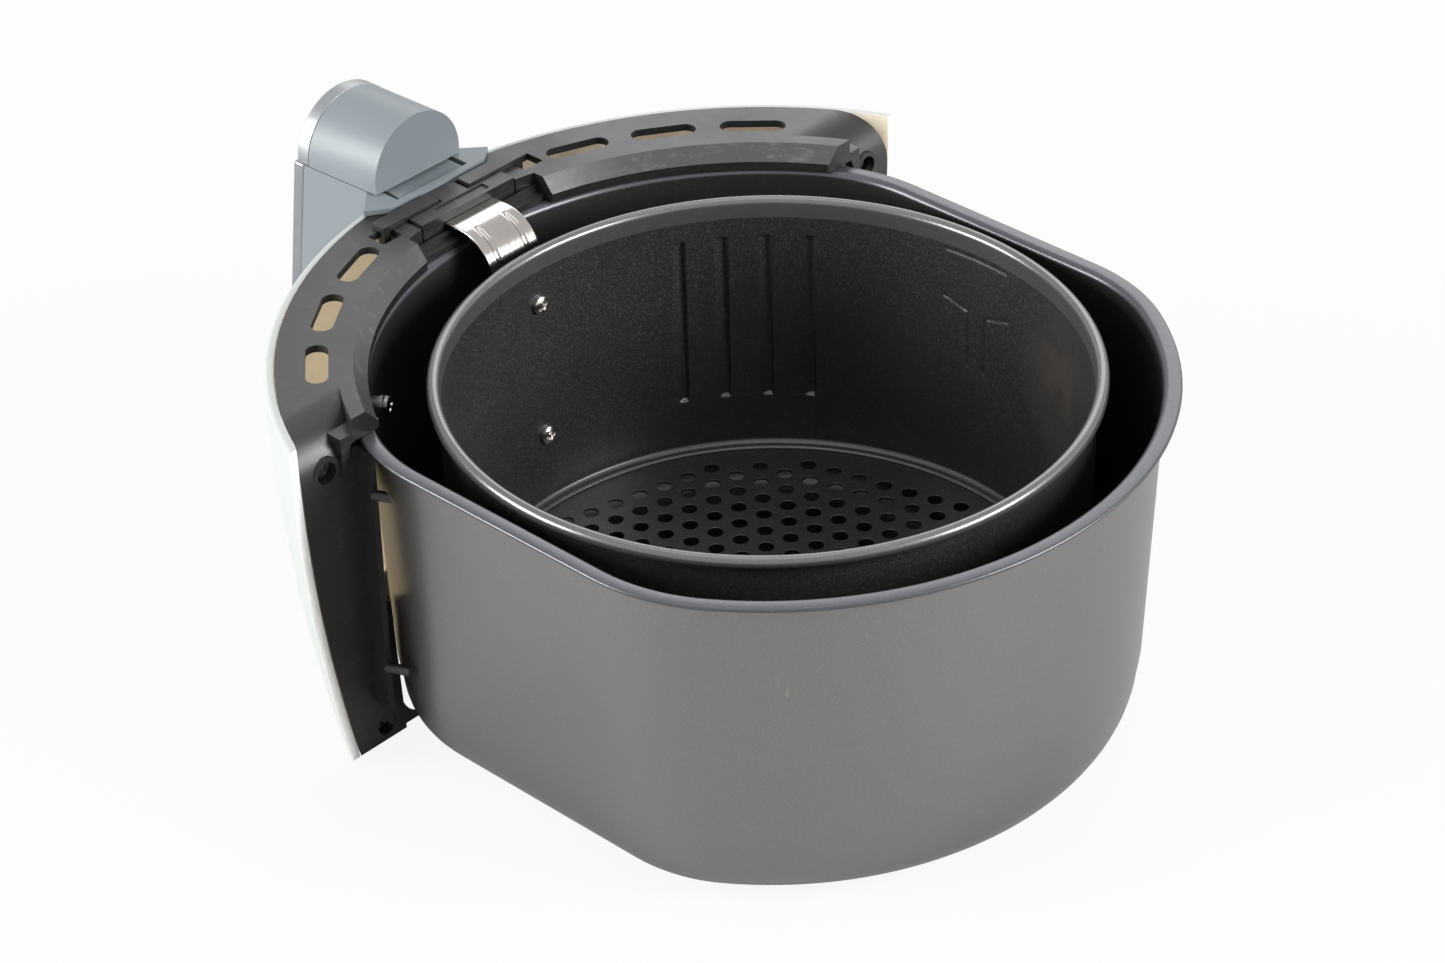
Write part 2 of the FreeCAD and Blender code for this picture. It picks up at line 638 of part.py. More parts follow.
def coverProfile(low, high, inset):
    """Lower end, middle and upper end of the cover's bowed side between two heights."""
    return [(coverAt(height, inset), height) for height in (low, (low + high) / 2, high)]


def trimRear(body, name, plane):
    """Cut a body off behind a plane across Y."""
    reach = size.coverRadius + size.toolReach
    sketch = newSketch(body, name + "Outline", "XY_Plane", "shelfTop + 10")
    draw(sketch, *rectangle(-reach, reach, -plane, reach))
    return pocket(body, name, sketch)


def makeCover():
    body = newBody("CoverShell")
    profile = newSketch(body, "CoverProfile", "XZ_Plane", "coverCentre")
    lipTop = size.coverBottom + size.coverWall
    bottom, middle, top = coverProfile(size.coverBottom, size.coverTop, 0.0)
    innerBottom, innerMiddle, innerTop = coverProfile(lipTop, size.coverTop, size.coverWall)
    lip = innerBottom[0] - size.coverLip
    draw(
        profile,
        top,
        (middle, bottom),
        (lip, size.coverBottom),
        (lip, lipTop),
        innerBottom,
        (innerMiddle, innerTop),
    )
    revolve(body, "CoverTurn", profile)
    rear = trimRear(body, "CoverRear", size.rearPlane)

    def outerEdge(edge):
        atTop = flatAt(size.coverTop)(edge)
        return atTop and abs(math.hypot(edge.Vertexes[0].X, edge.Vertexes[0].Y + size.coverCentre) - size.coverRadius) < 0.01

    fillet(body, "CoverRound", rear, "coverRound", outerEdge)
    notch = box("CoverNotch", ("-notchHalf", "-coverCentre - coverRadius - 5", "notchBottom"),
                ("notchHalf", "-coverCentre - coverRadius + 20", "coverTop + 5"))
    relief = box("LipRelief", ("-coverRadius", "-rearPlane - frameWall - frameGap", "coverBottom - 1"),
                 ("coverRadius", "-rearPlane + 1", "coverBottom + coverWall + 0.01"))
    outside = frameBlock("LipLimit", size.frameGap, 1.0, size.coverTop, size.rearPlane - 2, size.coverBottom + size.coverWall + 1,
                         size.coverBottom - 2, "")
    lipCut = document.addObject("Part::Common", "LipCut")
    lipCut.Base = relief
    lipCut.Tool = outside
    bosses, pilots, cups = [], [], []
    for level in ("High", "Low"):
        for side, sign in sides:
            across = f"{sign} * wingScrew{level}Across"
            start = (across, "-rearPlane - cupDepth - seatGap", "wingScrew" + level)
            bosses.append(cylinder(f"CoverBoss{level}{side}", "bossRadius", "tapLength", start, (0, -1, 0)))
            pilots.append(cylinder(f"CoverPilot{level}{side}", "tapScrewRadius + threadGap", "tapLength - 1.2", start, (0, -1, 0)))
            cups.append(cylinder(f"CupRoom{level}{side}", "cupRadius + frameGap", "cupDepth + seatGap + 1",
                                 (across, "-rearPlane + 1", "wingScrew" + level), (0, -1, 0)))
    cleared = cut("CoverCleared", body, cups + [lipCut, notch])
    shell = fuse("CoverWithBosses", [cleared] + bosses)
    return cut("front_cover", shell, pilots)


# Front frame: shelf, wings and ledge in one moulding

def frameBlock(name, grow, core, coreBottom, rear, top, bottom, edgeRound):
    """The space between the frame's core and the cover, cut off at the rear, its rear top edge rounded."""
    body = newBody(name)
    profile = newSketch(body, name + "Profile", "XZ_Plane", "coverCentre")
    low, middle, high = coverProfile(bottom, top, size.coverWall + size.frameGap - grow)
    draw(profile, (0.0, bottom), low, (middle, high), (0.0, top))
    revolve(body, name + "Turn", profile)
    trimmed = trimRear(body, name + "Rear", rear)
    hole = newSketch(body, name + "Core", "XY_Plane", "shelfTop + 10")
    hole.addGeometry(Part.Circle(Vector(0, -size.coverCentre, 0), Vector(0, 0, 1), core), False)
    opened = pocket(body, name + "Opened", hole, f"shelfTop + 10 - {coreBottom}")

    def rearTopEdge(edge):
        return flatAt(top)(edge) and abs(edge.BoundBox.YMin + rear) < 1e-4 and abs(edge.BoundBox.YMax + rear) < 1e-4

    if edgeRound:
        fillet(body, name + "Bend", opened, edgeRound, rearTopEdge)
    return body


def ventOutline(degrees):
    """A slot with round ends, lying along the shelf."""
    half, run = size.ventWidth / 2, (size.ventLength - size.ventWidth) / 2
    angle = math.radians(degrees)
    centre = polar(size.ventRadius, degrees, (0.0, -size.coverCentre))
    place = lambda along, out: (
        centre[0] + along * math.cos(angle) + out * math.sin(angle),
        centre[1] + along * math.sin(angle) - out * math.cos(angle),
    )
    return (
        place(-run, -half), place(run, -half),
        (place(run + half, 0), place(run, half)),
        place(-run, half),
        (place(-run - half, 0), place(-run, -half)),
    )


def makeLedge():
    """The slanted ledge over the pan's flange, one piece each side of the gap."""
    body = newBody("LedgeRing")
    profile = newSketch(body, "LedgeProfile", "XZ_Plane", "coverCentre")
    floor = size.panHeight + size.seatGap
    draw(
        profile,
        (size.coreRadius + 1, size.shelfTop),
        (size.creaseRadius, size.shelfTop),
        (size.ledgeRadius, size.shelfTop - size.ledgeFall),
        (size.ledgeRadius, floor),
        (size.coreRadius + 1, floor),
    )
    revolve(body, "LedgeTurn", profile)
    keep = fuse("LedgeSpan", [
        box("LedgeSpan" + side, (f"{low}", "-coverCentre - coreRadius - 2", "panHeight - 5"), (f"{high}", "-lugRear", "shelfTop + 5"))
        for side, low, high in (("Left", "ledgeGap", "coreRadius + 2"), ("Right", "-coreRadius - 2", "-ledgeGap"))
    ])
    ledge = document.addObject("Part::Common", "Ledges")
    ledge.Base = body
    ledge.Tool = keep
    return ledge


def makeFrame():
    block = frameBlock("FrameBlock", 0.0, size.coreRadius, "coverBottom", size.rearPlane,
                       size.shelfTop, size.coverBottom, "shelfRound")
    cavity = frameBlock("FrameCavity", size.toolReach, size.coreRadius + size.frameWall, "(shelfTop - apronDepth)",
                        size.rearPlane + size.frameWall, size.shelfTop - size.frameWall,
                        size.coverBottom - size.toolReach, "shelfRound - frameWall")
    shell = cut("FrameShell", block, [cavity])

    ledgeFloor = size.panHeight + size.seatGap
    lug = (
        (size.lugInner, ledgeFloor), (size.lugOuter - 4, ledgeFloor),
        (size.lugOuter, ledgeFloor - size.gussetDrop),
        (size.lugOuter, ledgeFloor + size.lugHeight), (size.lugInner, ledgeFloor + size.lugHeight),
    )
    added = [shell, makeLedge(), prism("Lugs", "XZ_Plane", "lugRear", "12", [lug, mirrored(lug)])]
    removed = []
    for side, sign in sides:
        low, high = ("", "") if sign > 0 else ("-", "-")
        ribX = ("ribAcross", "ribAcross + ribThickness") if sign > 0 else ("-ribAcross - ribThickness", "-ribAcross")
        webX = ("80", "ribAcross + 3") if sign > 0 else ("-ribAcross - 3", "-80")
        added.append(box("Rib" + side, (ribX[0], "-rearPlane - frameWall", "ribBottom"), (ribX[1], "-ribRear", "ribTop")))
        added.append(box("Web" + side, (webX[0], "-rearPlane - frameWall", "coverBottom"), (webX[1], "-rearPlane", "webTop")))
        added.append(box("WebTop" + side, (webX[0], "-rearPlane - frameWall", "ribTop - 6"), (webX[1], "-rearPlane", "panHeight - flangeThickness - webGap")))
        turn = math.radians(size.pegTurn)
        for level in ("High", "Low"):
            added.append(cylinder(f"Peg{level}{side}", "pegRadius", "pegLength",
                                  (f"{sign} * (ribAcross + ribThickness / 2)", "-ribRear - 1", "peg" + level),
                                  (-sign * math.sin(turn), math.cos(turn), 0)))
        for level in ("High", "Low"):
            across = f"{sign} * wingScrew{level}Across"
            height = "wingScrew" + level
            added.append(cylinder(f"Cup{level}{side}", "cupRadius", "cupDepth", (across, "-rearPlane", height), (0, -1, 0)))
            removed.append(cylinder(f"CupBore{level}{side}", "cupBore", "cupDepth - cupFloor + 5", (across, "-rearPlane + 5", height), (0, -1, 0)))
            removed.append(cylinder(f"CupHole{level}{side}", "tapScrewRadius + screwGap", "cupDepth + 5", (across, "-rearPlane", height), (0, -1, 0)))
        start = panWallRadius() + size.panWall + size.seatGap
        added.append(radialTool("PanBoss" + side, "bossRadius + 0.6", "tapLength + 0.2", start, "panScrewHeight", sign * size.panScrewAngle))
        removed.append(radialTool("PanPilot" + side, "tapScrewRadius + threadGap", "tapLength", start - 1, "panScrewHeight", sign * size.panScrewAngle))
    frame = fuse("FrameJoined", added)

    vents = []
    for step in range(int(size.ventCount)):
        slot = ventOutline(size.ventFirst + step * size.ventStep)
        vents += [slot, mirrored(slot)]
    removed.append(prism("Vents", "XY_Plane", "shelfTop + 2", "frameWall + 6", vents, reverse=True))
    hole = rectangle(size.catchAcross - size.catchLength / 2, size.catchAcross + size.catchLength / 2,
                     -size.catchForward - size.catchWidth / 2, -size.catchForward + size.catchWidth / 2)
    removed.append(prism("CatchHoles", "XY_Plane", "shelfTop + 2", "frameWall + 6", [hole, mirrored(hole)], reverse=True))
    removed.append(box("FrameNotch", ("-notchHalf", "-coverCentre - coverRadius - 5", "notchBottom"),
                       ("notchHalf", "-coverCentre - coreRadius + 10", "shelfTop + 5")))
    removed.append(makePanClearance())
    return fuse("front_frame", [cut("FrameOpened", frame, removed), makeSill()])


def makeSill():
    """The stepped bar over the pan's rim that joins the ledge's ends under the bracket."""
    floor, front = size.panHeight + size.seatGap, -size.housingRear + size.sillBack
    middle, top = floor + size.sillStep, floor + 2 * size.sillStep
    steps = (
        (front, floor), (front + size.sillDepth, floor), (front + size.sillDepth, middle),
        (front + size.sillRib, middle), (front + size.sillRib, top), (front, top),
    )
    return prism("Sill", "YZ_Plane", "0", "2 * ledgeGap + 2", [steps], middle=True)


def makePanClearance():
    """The room that the frame leaves round the pan's wall."""
    body = newBody("PanClearance")
    panLoft(body, "PanRoom", "AdditiveLoft", size.flangeWidth - size.panWall - size.webGap, "0")
    return body


# Fasteners

def screw(name, shank, length, head, headHeight, start, direction):
    """A pan-head screw: its head's underside at a point, its shank along a direction."""
    body = newBody(name)
    profile = newSketch(body, name + "Profile", "XZ_Plane")
    crown = headHeight * 0.45
    draw(
        profile,
        (0.0, headHeight),
        ((head * 0.62, headHeight - crown * 0.28), (head, headHeight - crown)),
        (head, 0.0),
        (shank, 0.0),
        (shank, -length + shank * 0.6),
        (shank * 0.4, -length),
        (0.0, -length),
    )
    revolve(body, name + "Turn", profile)
    body.Placement = FreeCAD.Placement(Vector(*start), Rotation(Vector(0, 0, -1), Vector(*direction)))
    return body


def tapScrew(name, start, direction):
    """The self-tapping screw used all over the object."""
    return screw(name, size.tapScrewRadius, size.tapLength, size.tapHeadRadius, size.tapHeadHeight, start, direction)


def makePanScrews():
    pieces = []
    for side, sign in sides:
        x, y = polar(panWallRadius() - 0.15, sign * size.panScrewAngle, (0.0, -size.panFront))
        out = polar(1.0, sign * size.panScrewAngle)
        pieces.append(tapScrew("PanScrew" + side, (x, y, size.panScrewHeight), (out[0], out[1], 0)))
    return group("pan_screws", pieces)


def makeCoverScrews():
    seat = -size.rearPlane - size.cupDepth + size.cupFloor
    pieces = []
    for level, across, height in (("High", size.wingScrewHighAcross, size.wingScrewHigh), ("Low", size.wingScrewLowAcross, size.wingScrewLow)):
        for side, sign in sides:
            pieces.append(tapScrew(f"CoverScrew{level}{side}", (sign * across, seat, height), (0, -1, 0)))
    return group("cover_screws", pieces)


def makeBracketScrews():
    pieces = []
    for level, height in (("High", size.bracketScrewHigh), ("Low", size.bracketScrewLow)):
        start = (0.0, -basketInner(height) + 0.12, height)
        pieces.append(screw("BracketScrew" + level, size.boltRadius, size.boltReach, size.boltHeadRadius,
                            size.boltHeadHeight, start, (0, -1, 0)))
    return group("bracket_screws", pieces)


def makeBracketNuts():
    pieces = []
    reach = size.nutWidth / 2 / math.cos(math.radians(30))
    corners = [(reach * math.cos(math.radians(60 * step)), reach * math.sin(math.radians(60 * step))) for step in range(6)]
    for level in ("High", "Low"):
        height = getattr(size, "bracketScrew" + level)
        body = newBody("Nut" + level)
        sketch = newSketch(body, f"Nut{level}Outline", "XZ_Plane", "bracketSeat + bracketThickness")
        draw(sketch, *[(x, z + height) for x, z in corners])
        sketch.addGeometry(Part.Circle(Vector(0, height, 0), Vector(0, 0, 1), size.boltRadius + size.threadGap), False)
        pad(body, f"Nut{level}Pad", sketch, "nutHeight")
        pieces.append(body)
    return group("bracket_nuts", pieces)


# Bracket between basket and handle

def bracketOutline(upper, lower):
    """The strip's side view between two depths under its upper face."""
    bend = size.bracketBend
    start, top = -size.bracketBendStart, size.bracketTop
    turn = math.sqrt(0.5)
    kneeHigh, kneeLow = top - bend - 1.0, top - bend - 4.6

    def face(depth, reverse):
        radius = bend - depth
        steps = [
            (-size.bracketEnd, top - depth),
            (start, top - depth),
            ((start + radius * turn, top - bend + radius * turn), (start + radius, top - bend)),
            (start + radius, kneeHigh),
            (-size.bracketSeat - depth, kneeLow),
            (-size.bracketSeat - depth, size.bracketBottom),
        ]
        if not reverse:
            return steps
        arc = (steps[2][0], steps[1])
        return [steps[5], steps[4], steps[3], steps[2][1], arc, steps[0]]

    return tuple(face(upper, False) + face(lower, True))


def makeBracket():
    thickness = size.bracketThickness
    strip = prism("BracketStrip", "YZ_Plane", "0", "bracketWidth", [bracketOutline(0.0, thickness)], middle=True)
    grooves = []
    for side, sign in sides:
        groove = prism("Groove" + side, "YZ_Plane", f"{sign} * grooveAcross", "grooveWidth",
                       [bracketOutline(-0.5, size.grooveDepth)], middle=True)
        grooves.append(groove)
    limit = box("GrooveSpan", ("-bracketWidth", "-bracketBendStart + 3", "bracketTop - bracketBend - 1"),
                ("bracketWidth", "-bracketSeat + 5", "bracketTop + 5"))
    pressed = document.addObject("Part::Common", "PressedGrooves")
    pressed.Base = fuse("GrooveStrips", grooves)
    pressed.Tool = limit
    holes = [
        cylinder("BracketHole" + level, "boltRadius + screwGap", "6", ("0", "-bracketSeat + 2", "bracketScrew" + level), (0, -1, 0))
        for level in ("High", "Low")
    ] + [
        cylinder("StripHole" + side, "tapScrewRadius + screwGap", "6",
                 (f"{sign} * bracketScrewAcross", "-housingRear - bracketScrewIn", "bracketTop - 3"), (0, 0, 1))
        for side, sign in sides
    ]
    return cut("basket_bracket", strip, [pressed] + holes)


# Latch housing: the black block between bracket and handle

def makeHousing():
    block = box("HousingBlock", ("-housingHalf", "-tongueRear + seatGap", "housingBottom"), ("housingHalf", "-housingRear", "housingTop"))
    under = box("HousingUnder", ("-housingHalf", "-headRear + seatGap", "housingBottom"),
                ("housingHalf", "-tongueRear + seatGap", "tongueTop - tongueThickness"))
    neck = box("HousingNeck", ("-neckHalf", "-housingFront", "housingBottom"), ("neckHalf", "-headRear + 1", "neckTop"))
    posts = [
        cylinder("HousingPost" + side, "bossRadius - 0.4", "housingBottom - fingerTop - backThickness - seatGap + 1",
                 (f"{sign} * neckScrewAcross", "-neckScrewForward", "fingerTop + backThickness + seatGap"), (0, 0, 1))
        for side, sign in sides
    ]
    solid = fuse("HousingSolid", [block, under, neck] + posts)
    removed = [
        box("HousingHollow", ("-neckHalf + housingWall", "-housingFront - 1", "housingBottom + housingWall"),
            ("neckHalf - housingWall", "-armRear + seatGap", "tongueTop - tongueThickness - housingWall")),
        box("HousingMouth", ("-openingHalf - hookReach", "-headRear - 0.6", "housingBottom + housingWall + 6"),
            ("openingHalf + hookReach", "-buttonRear + seatGap", "tongueTop")),
        box("BracketSlot", ("-bracketWidth / 2 - seatGap", "-bracketEnd - seatGap / 2", "bracketTop - bracketThickness - seatGap / 2"),
            ("bracketWidth / 2 + seatGap", "-housingRear + 1", "bracketTop + seatGap / 2")),
        box("ArmChannelLeft", ("armInner - 1.2", "-armFront - seatGap", "shelfTop"), ("housingHalf + 1", "-armRear + seatGap", "housingTop + 1")),
        box("ArmChannelRight", ("-housingHalf - 1", "-armFront - seatGap", "shelfTop"), ("-armInner + 1.2", "-armRear + seatGap", "housingTop + 1")),
        box("LegSlotLeft", ("armInner - 1.2", "-armFront - seatGap", "housingTop - 6"), ("armInner + 8", "-armRear + seatGap", "housingTop + 1")),
        box("LegSlotRight", ("-armInner - 8", "-armFront - seatGap", "housingTop - 6"), ("-armInner + 1.2", "-armRear + seatGap", "housingTop + 1")),
        box("TopRecess", ("-bracketWidth / 2", "-armRear + 1.5", "housingTop - 0.6"), ("bracketWidth / 2", "-housingRear - 1.4", "housingTop + 1")),
    ]
    for side, sign in sides:
        across, forward = f"{sign} * bracketScrewAcross", "-housingRear - bracketScrewIn"
        removed.append(cylinder("BracketBore" + side, "tapScrewRadius + screwGap", "bracketTop - housingBottom",
                                (across, forward, "housingBottom - 1"), (0, 0, 1)))
        removed.append(cylinder("RoofPilot" + side, "tapScrewRadius + threadGap", "bracketScrewBite + 0.2",
                                (across, forward, "bracketTop"), (0, 0, 1)))
        removed.append(cylinder("PostPilot" + side, "tapScrewRadius + threadGap", "tapLength - 1.3",
                                (f"{sign} * neckScrewAcross", "-neckScrewForward", "fingerTop + backThickness"), (0, 0, 1)))
    return cut("latch_housing", solid, removed)


def makeHousingScrews():
    pieces = []
    length = size.bracketTop + size.bracketScrewBite - size.housingBottom
    for side, sign in sides:
        start = (sign * size.bracketScrewAcross, -size.housingRear - size.bracketScrewIn, size.housingBottom)
        pieces.append(screw("HousingScrew" + side, size.tapScrewRadius, length,
                            size.tapHeadRadius, size.tapHeadHeight, start, (0, 0, 1)))
    return group("housing_screws", pieces)


# Handle: grip shell, back plate and silver trim

def gripFront(height):
    """How far forward the grip's front is at a height on its straight part."""
    return -size.headFront - size.gripLean * (size.tongueTop - height)


def gripOutline(depth=0.0, wall=0.0):
    """The grip's side view from head to lower end, with its front moved by a depth."""
    front = lambda height: gripFront(height) + depth
    low = size.gripBottom + wall
    knee = front(size.gripKnee)
    return {
        "top": (front(size.tongueTop), size.tongueTop),
        "shoulder": (knee, size.gripKnee),
        "belly": (knee - size.trimProud, size.gripBelly),
        "chin": (knee + size.gripChinIn, low + size.gripChin),
        "toe": (knee + size.gripToeIn, low),
    }


def gripSides():
    """Two wedges outside the handle, which is wider at its front."""
    slope = (size.gripHalfFront - size.gripHalfRear) / (size.capFront - size.capRear)
    wide = lambda forward: size.gripHalfRear + slope * (forward - size.capRear)
    rear, front = size.tongueRear - size.tongueFlare, size.headFront + size.headDepth
    out = size.tongueWide
    side = ((wide(rear), -rear), (wide(front), -front), (wide(front) + out, -front), (wide(rear) + out, -rear))
    return [side, mirrored(side)]


def gripShape(name, inset, top, bottomLift):
    """The handle's solid form, all sides moved in by an inset."""
    spot = gripOutline(inset, inset + bottomLift)
    rear = -size.gripRear
    head = -size.headRear - inset
    gap = size.fingerTop
    outline = (
        (head, top), (spot["top"][0], top),
        spot["shoulder"],
        (spot["belly"], spot["chin"]),
        ((spot["chin"][0] + 2.2, spot["toe"][1] + 2.6), spot["toe"]),
        (rear - 1.0, spot["toe"][1]),
        (rear, spot["toe"][1] + 3.0),
        (rear, gap),
        (head, gap),
    )
    body = newBody(name)
    side = newSketch(body, name + "Side", "YZ_Plane")
    draw(side, *outline)
    pad(body, name + "Width", side, "4 * gripHalfFront", middle=True)
    plan = newSketch(body, name + "Plan", "XY_Plane", "tongueTop + 5")
    for wedge in gripSides():
        moved = tuple((x - math.copysign(inset, x), y) for x, y in wedge)
        draw(plan, *moved)
    pocket(body, name + "Sides", plan)
    return body


def makeHandleShell():
    outer = gripShape("GripOuter", 0.0, size.tongueTop, 0.0)
    inner = gripShape("GripInner", size.gripWall, size.tongueTop - size.tongueThickness, 0.0)
    wide, rear = size.tongueWide, -size.tongueRear
    tongue = (
        (size.tongueHalf, rear), (wide, -(size.tongueRear + size.tongueFlare)), (size.gripHalfRear, -size.headRear - 2),
        (-size.gripHalfRear, -size.headRear - 2), (-wide, -(size.tongueRear + size.tongueFlare)), (-size.tongueHalf, rear),
    )
    plate = prism("Tongue", "XY_Plane", "tongueTop", "tongueThickness", [tongue], reverse=True)
    shell = cut("GripHollow", outer, [inner])
    posts = document.addObject("Part::Common", "GripPosts")
    posts.Base = fuse("GripBosses", gripBosses())
    posts.Tool = outer
    joined = fuse("GripJoined", [shell, plate, posts])
    removed = [
        box("ButtonOpening", ("-openingHalf", "-buttonFront - buttonGap", "tongueTop - tongueThickness - 1"),
            ("openingHalf", "-buttonRear + buttonGap", "tongueTop + 1")),
        box("HeadPassage", ("-neckHalf - seatGap", "-headRear - gripWall - 1", "housingBottom - seatGap"),
            ("neckHalf + seatGap", "-headRear + 1", "tongueTop - tongueThickness")),
        box("BackOpening", ("-gripHalfRear + gripWall", "-gripRear - 1", "gripBottom + gripWall + 3"),
            ("gripHalfRear - gripWall", "-gripRear + 1", "fingerTop + 1")),
    ]
    return cut("handle_shell", joined, removed + gripPilots())


def gripScrewHeights():
    """The two screws that hold the handle's back plate."""
    return ("gripBottom + backScrewRise", "fingerTop - backScrewDrop")


def gripBosses():
    """Posts for the back plate's screws, long enough to reach the grip's front."""
    return [
        cylinder(f"GripBoss{index}", "bossRadius", "headDepth", ("0", "-gripRear - backThickness - seatGap", height), (0, -1, 0))
        for index, height in enumerate(gripScrewHeights())
    ]


def gripPilots():
    """Bores in those posts."""
    return [
        cylinder(f"GripPilot{index}", "tapScrewRadius + threadGap", "tapLength", ("0", "-gripRear", height), (0, -1, 0))
        for index, height in enumerate(gripScrewHeights())
    ]


def makeHandleBack():
    """The plate that closes the grip on the finger side."""
    plate = box("BackPlate", ("-gripHalfRear + gripWall + seatGap", "-gripRear - backThickness", "gripBottom + gripWall + 3 + seatGap"),
                ("gripHalfRear - gripWall - seatGap", "-gripRear", "fingerTop"))
    roof = box("BackRoof", ("-gripHalfRear + gripWall + seatGap", "-gripRear - backThickness", "fingerTop"),
               ("gripHalfRear - gripWall - seatGap", "-headRear - gripWall - seatGap", "fingerTop + backThickness"))
    holes = [
        cylinder(f"BackHole{index}", "tapScrewRadius + screwGap", "8", ("0", "-gripRear + 1", height), (0, -1, 0))
        for index, height in enumerate(gripScrewHeights())
    ] + [
        cylinder("RoofHole" + side, "tapScrewRadius + screwGap", "8", (f"{sign} * neckScrewAcross", "-neckScrewForward", "fingerTop - 1"), (0, 0, 1))
        for side, sign in sides
    ]
    return cut("handle_back", fuse("BackJoined", [plate, roof]), holes)


def makeHandleScrews():
    pieces = []
    for index, height in enumerate((size.gripBottom + size.backScrewRise, size.fingerTop - size.backScrewDrop)):
        pieces.append(tapScrew(f"HandleScrew{index}", (0.0, -size.gripRear, height), (0, -1, 0)))
    for side, sign in sides:
        pieces.append(tapScrew("RoofScrew" + side, (sign * size.neckScrewAcross, -size.neckScrewForward, size.fingerTop), (0, 0, 1)))
    return group("handle_screws", pieces)


def makeHandleTrim():
    """The silver strip down the grip's front."""
    near = gripOutline(-size.seatGap / 2, 0.0)
    far = gripOutline(-size.trimDepth, 0.0)
    outline = (
        near["top"], far["top"], far["shoulder"],
        (far["belly"], far["chin"]),
        near["chin"],
        (near["belly"], near["shoulder"]),
    )
    half = size.gripHalfFront + size.trimProud
    body = newBody("TrimStrip")
    side = newSketch(body, "TrimSide", "YZ_Plane")
    draw(side, *outline)
    pad(body, "TrimWidth", side, f"{2 * half}", middle=True)
    body.Label = "handle_trim"
    return body


# Sliding cap over the button

def archOutline(half, spring, base, inset=0.0):
    """A round arch on straight sides."""
    width = half - inset
    return ((-width, base), (width, base), (width, spring), ((0.0, spring + width), (-width, spring)))


def archLoft(body, name, kind, inset, start, end, base):
    """An arch that grows from the cap's rear to its front."""
    sketches = []
    foot = size.tongueTop + size.capGap
    for index, forward in enumerate((start, end)):
        share = min(1.0, (forward - size.capRear) / (size.capFront - size.capRear))
        half = size.gripHalfRear + share * (size.gripHalfFront - size.gripHalfRear)
        spring = foot + size.capSide - share * (size.capSide - 0.3)
        sketch = newSketch(body, f"{name}{index}", "XZ_Plane", f"{forward}")
        draw(sketch, *archOutline(half, spring, foot + base, inset))
        sketches.append(sketch)
    return loft(body, name, kind, sketches)


def makeGuard():
    body = newBody("GuardShell")
    archLoft(body, "GuardOuter", "AdditiveLoft", 0.0, size.capRear, size.capFront, 0.0)
    archLoft(body, "GuardInner", "SubtractiveLoft", size.gripWall, size.capRear + size.gripWall, size.capFront + 0.01, -1.0)
    added = [body]
    rail = "openingHalf - railGap - railThickness", "openingHalf - railGap"
    mirror = "-openingHalf + railGap", "-openingHalf + railGap + railThickness"
    for side, sign in sides:
        low, high = rail if sign > 0 else mirror
        web = (low, "gripHalfRear - 0.5") if sign > 0 else ("-gripHalfRear + 0.5", high)
        hook = (low, high + " + hookReach") if sign > 0 else (low + " - hookReach", high)
        added.append(box("Rail" + side, (low, "-railStart - railLength", "tongueTop - tongueThickness - hookDepth"), (high, "-railStart", "tongueTop + 2")))
        added.append(box("RailWeb" + side, (web[0], "-railStart - railLength", "tongueTop + capGap"), (web[1], "-railStart", "tongueTop + capGap + gripWall")))
        added.append(box("RailHook" + side, (hook[0], "-railStart - railLength", "tongueTop - tongueThickness - hookDepth"),
                         (hook[1], "-railStart", "tongueTop - tongueThickness - seatGap")))
    return fuse("button_guard", added)


def makeGuardTrim():
    """The silver arch that closes the cap's front."""
    body = newBody("GuardTrimShell")
    start = size.capFront + size.seatGap / 2
    archLoft(body, "TrimArch", "AdditiveLoft", -size.trimProud / 2, start, size.capFront + size.trimDepth, 0.0)
    archLoft(body, "TrimHollow", "SubtractiveLoft", size.gripWall, start - 0.01, size.capFront + size.trimDepth - 2.0, -1.0)
    body.Label = "guard_trim"
    return body


# Release button, its spring and the two latch arms

def wedgeOutline(gap):
    """The button's wedge seen from the front, wider at its top."""
    slope = size.latchTravel / size.buttonTravel
    low, high = size.housingBottom + size.housingWall + 4.5, size.tongueTop - size.tongueThickness - size.housingWall - 0.4
    inner = size.armInner - size.seatGap - slope * (high - low) + gap
    return ((-inner, low), (inner, low), (size.armInner - size.seatGap + gap, high), (-size.armInner + size.seatGap - gap, high))


def makeButton():
    top, dish = size.tongueTop, size.buttonDish
    body = newBody("ButtonPlate")
    face = newSketch(body, "ButtonFace", "XZ_Plane", "buttonRear")
    half, low = size.buttonHalf, top - size.buttonThickness
    draw(face, (-half, low), (half, low), (half, top - 0.3), ((0.0, top - 0.3 - dish), (-half, top - 0.3)))
    pad(body, "ButtonPlatePad", face, "buttonFront - buttonRear")
    stem = box("ButtonStem", ("-stemHalf", "-springForward - stemHalf", "tongueTop - buttonThickness - stemDrop"),
               ("stemHalf", "-buttonRear - 2", "tongueTop - buttonThickness"))
    arm = box("ButtonArm", ("-1.4", "-buttonRear - 8", "housingBottom + housingWall + 4.5"),
              ("1.4", "-armRear - 1", "housingBottom + housingWall + 8"))
    post = box("ButtonPost", ("-2.5", "-buttonRear - 8", "housingBottom + housingWall + 4.5"),
               ("2.5", "-buttonRear - 2", "tongueTop - buttonThickness"))
    wedge = prism("ButtonWedge", "XZ_Plane", "armRear + 1", "armFront - armRear - 1", [wedgeOutline(0.0)])
    return fuse("release_button", [body, stem, arm, post, wedge])


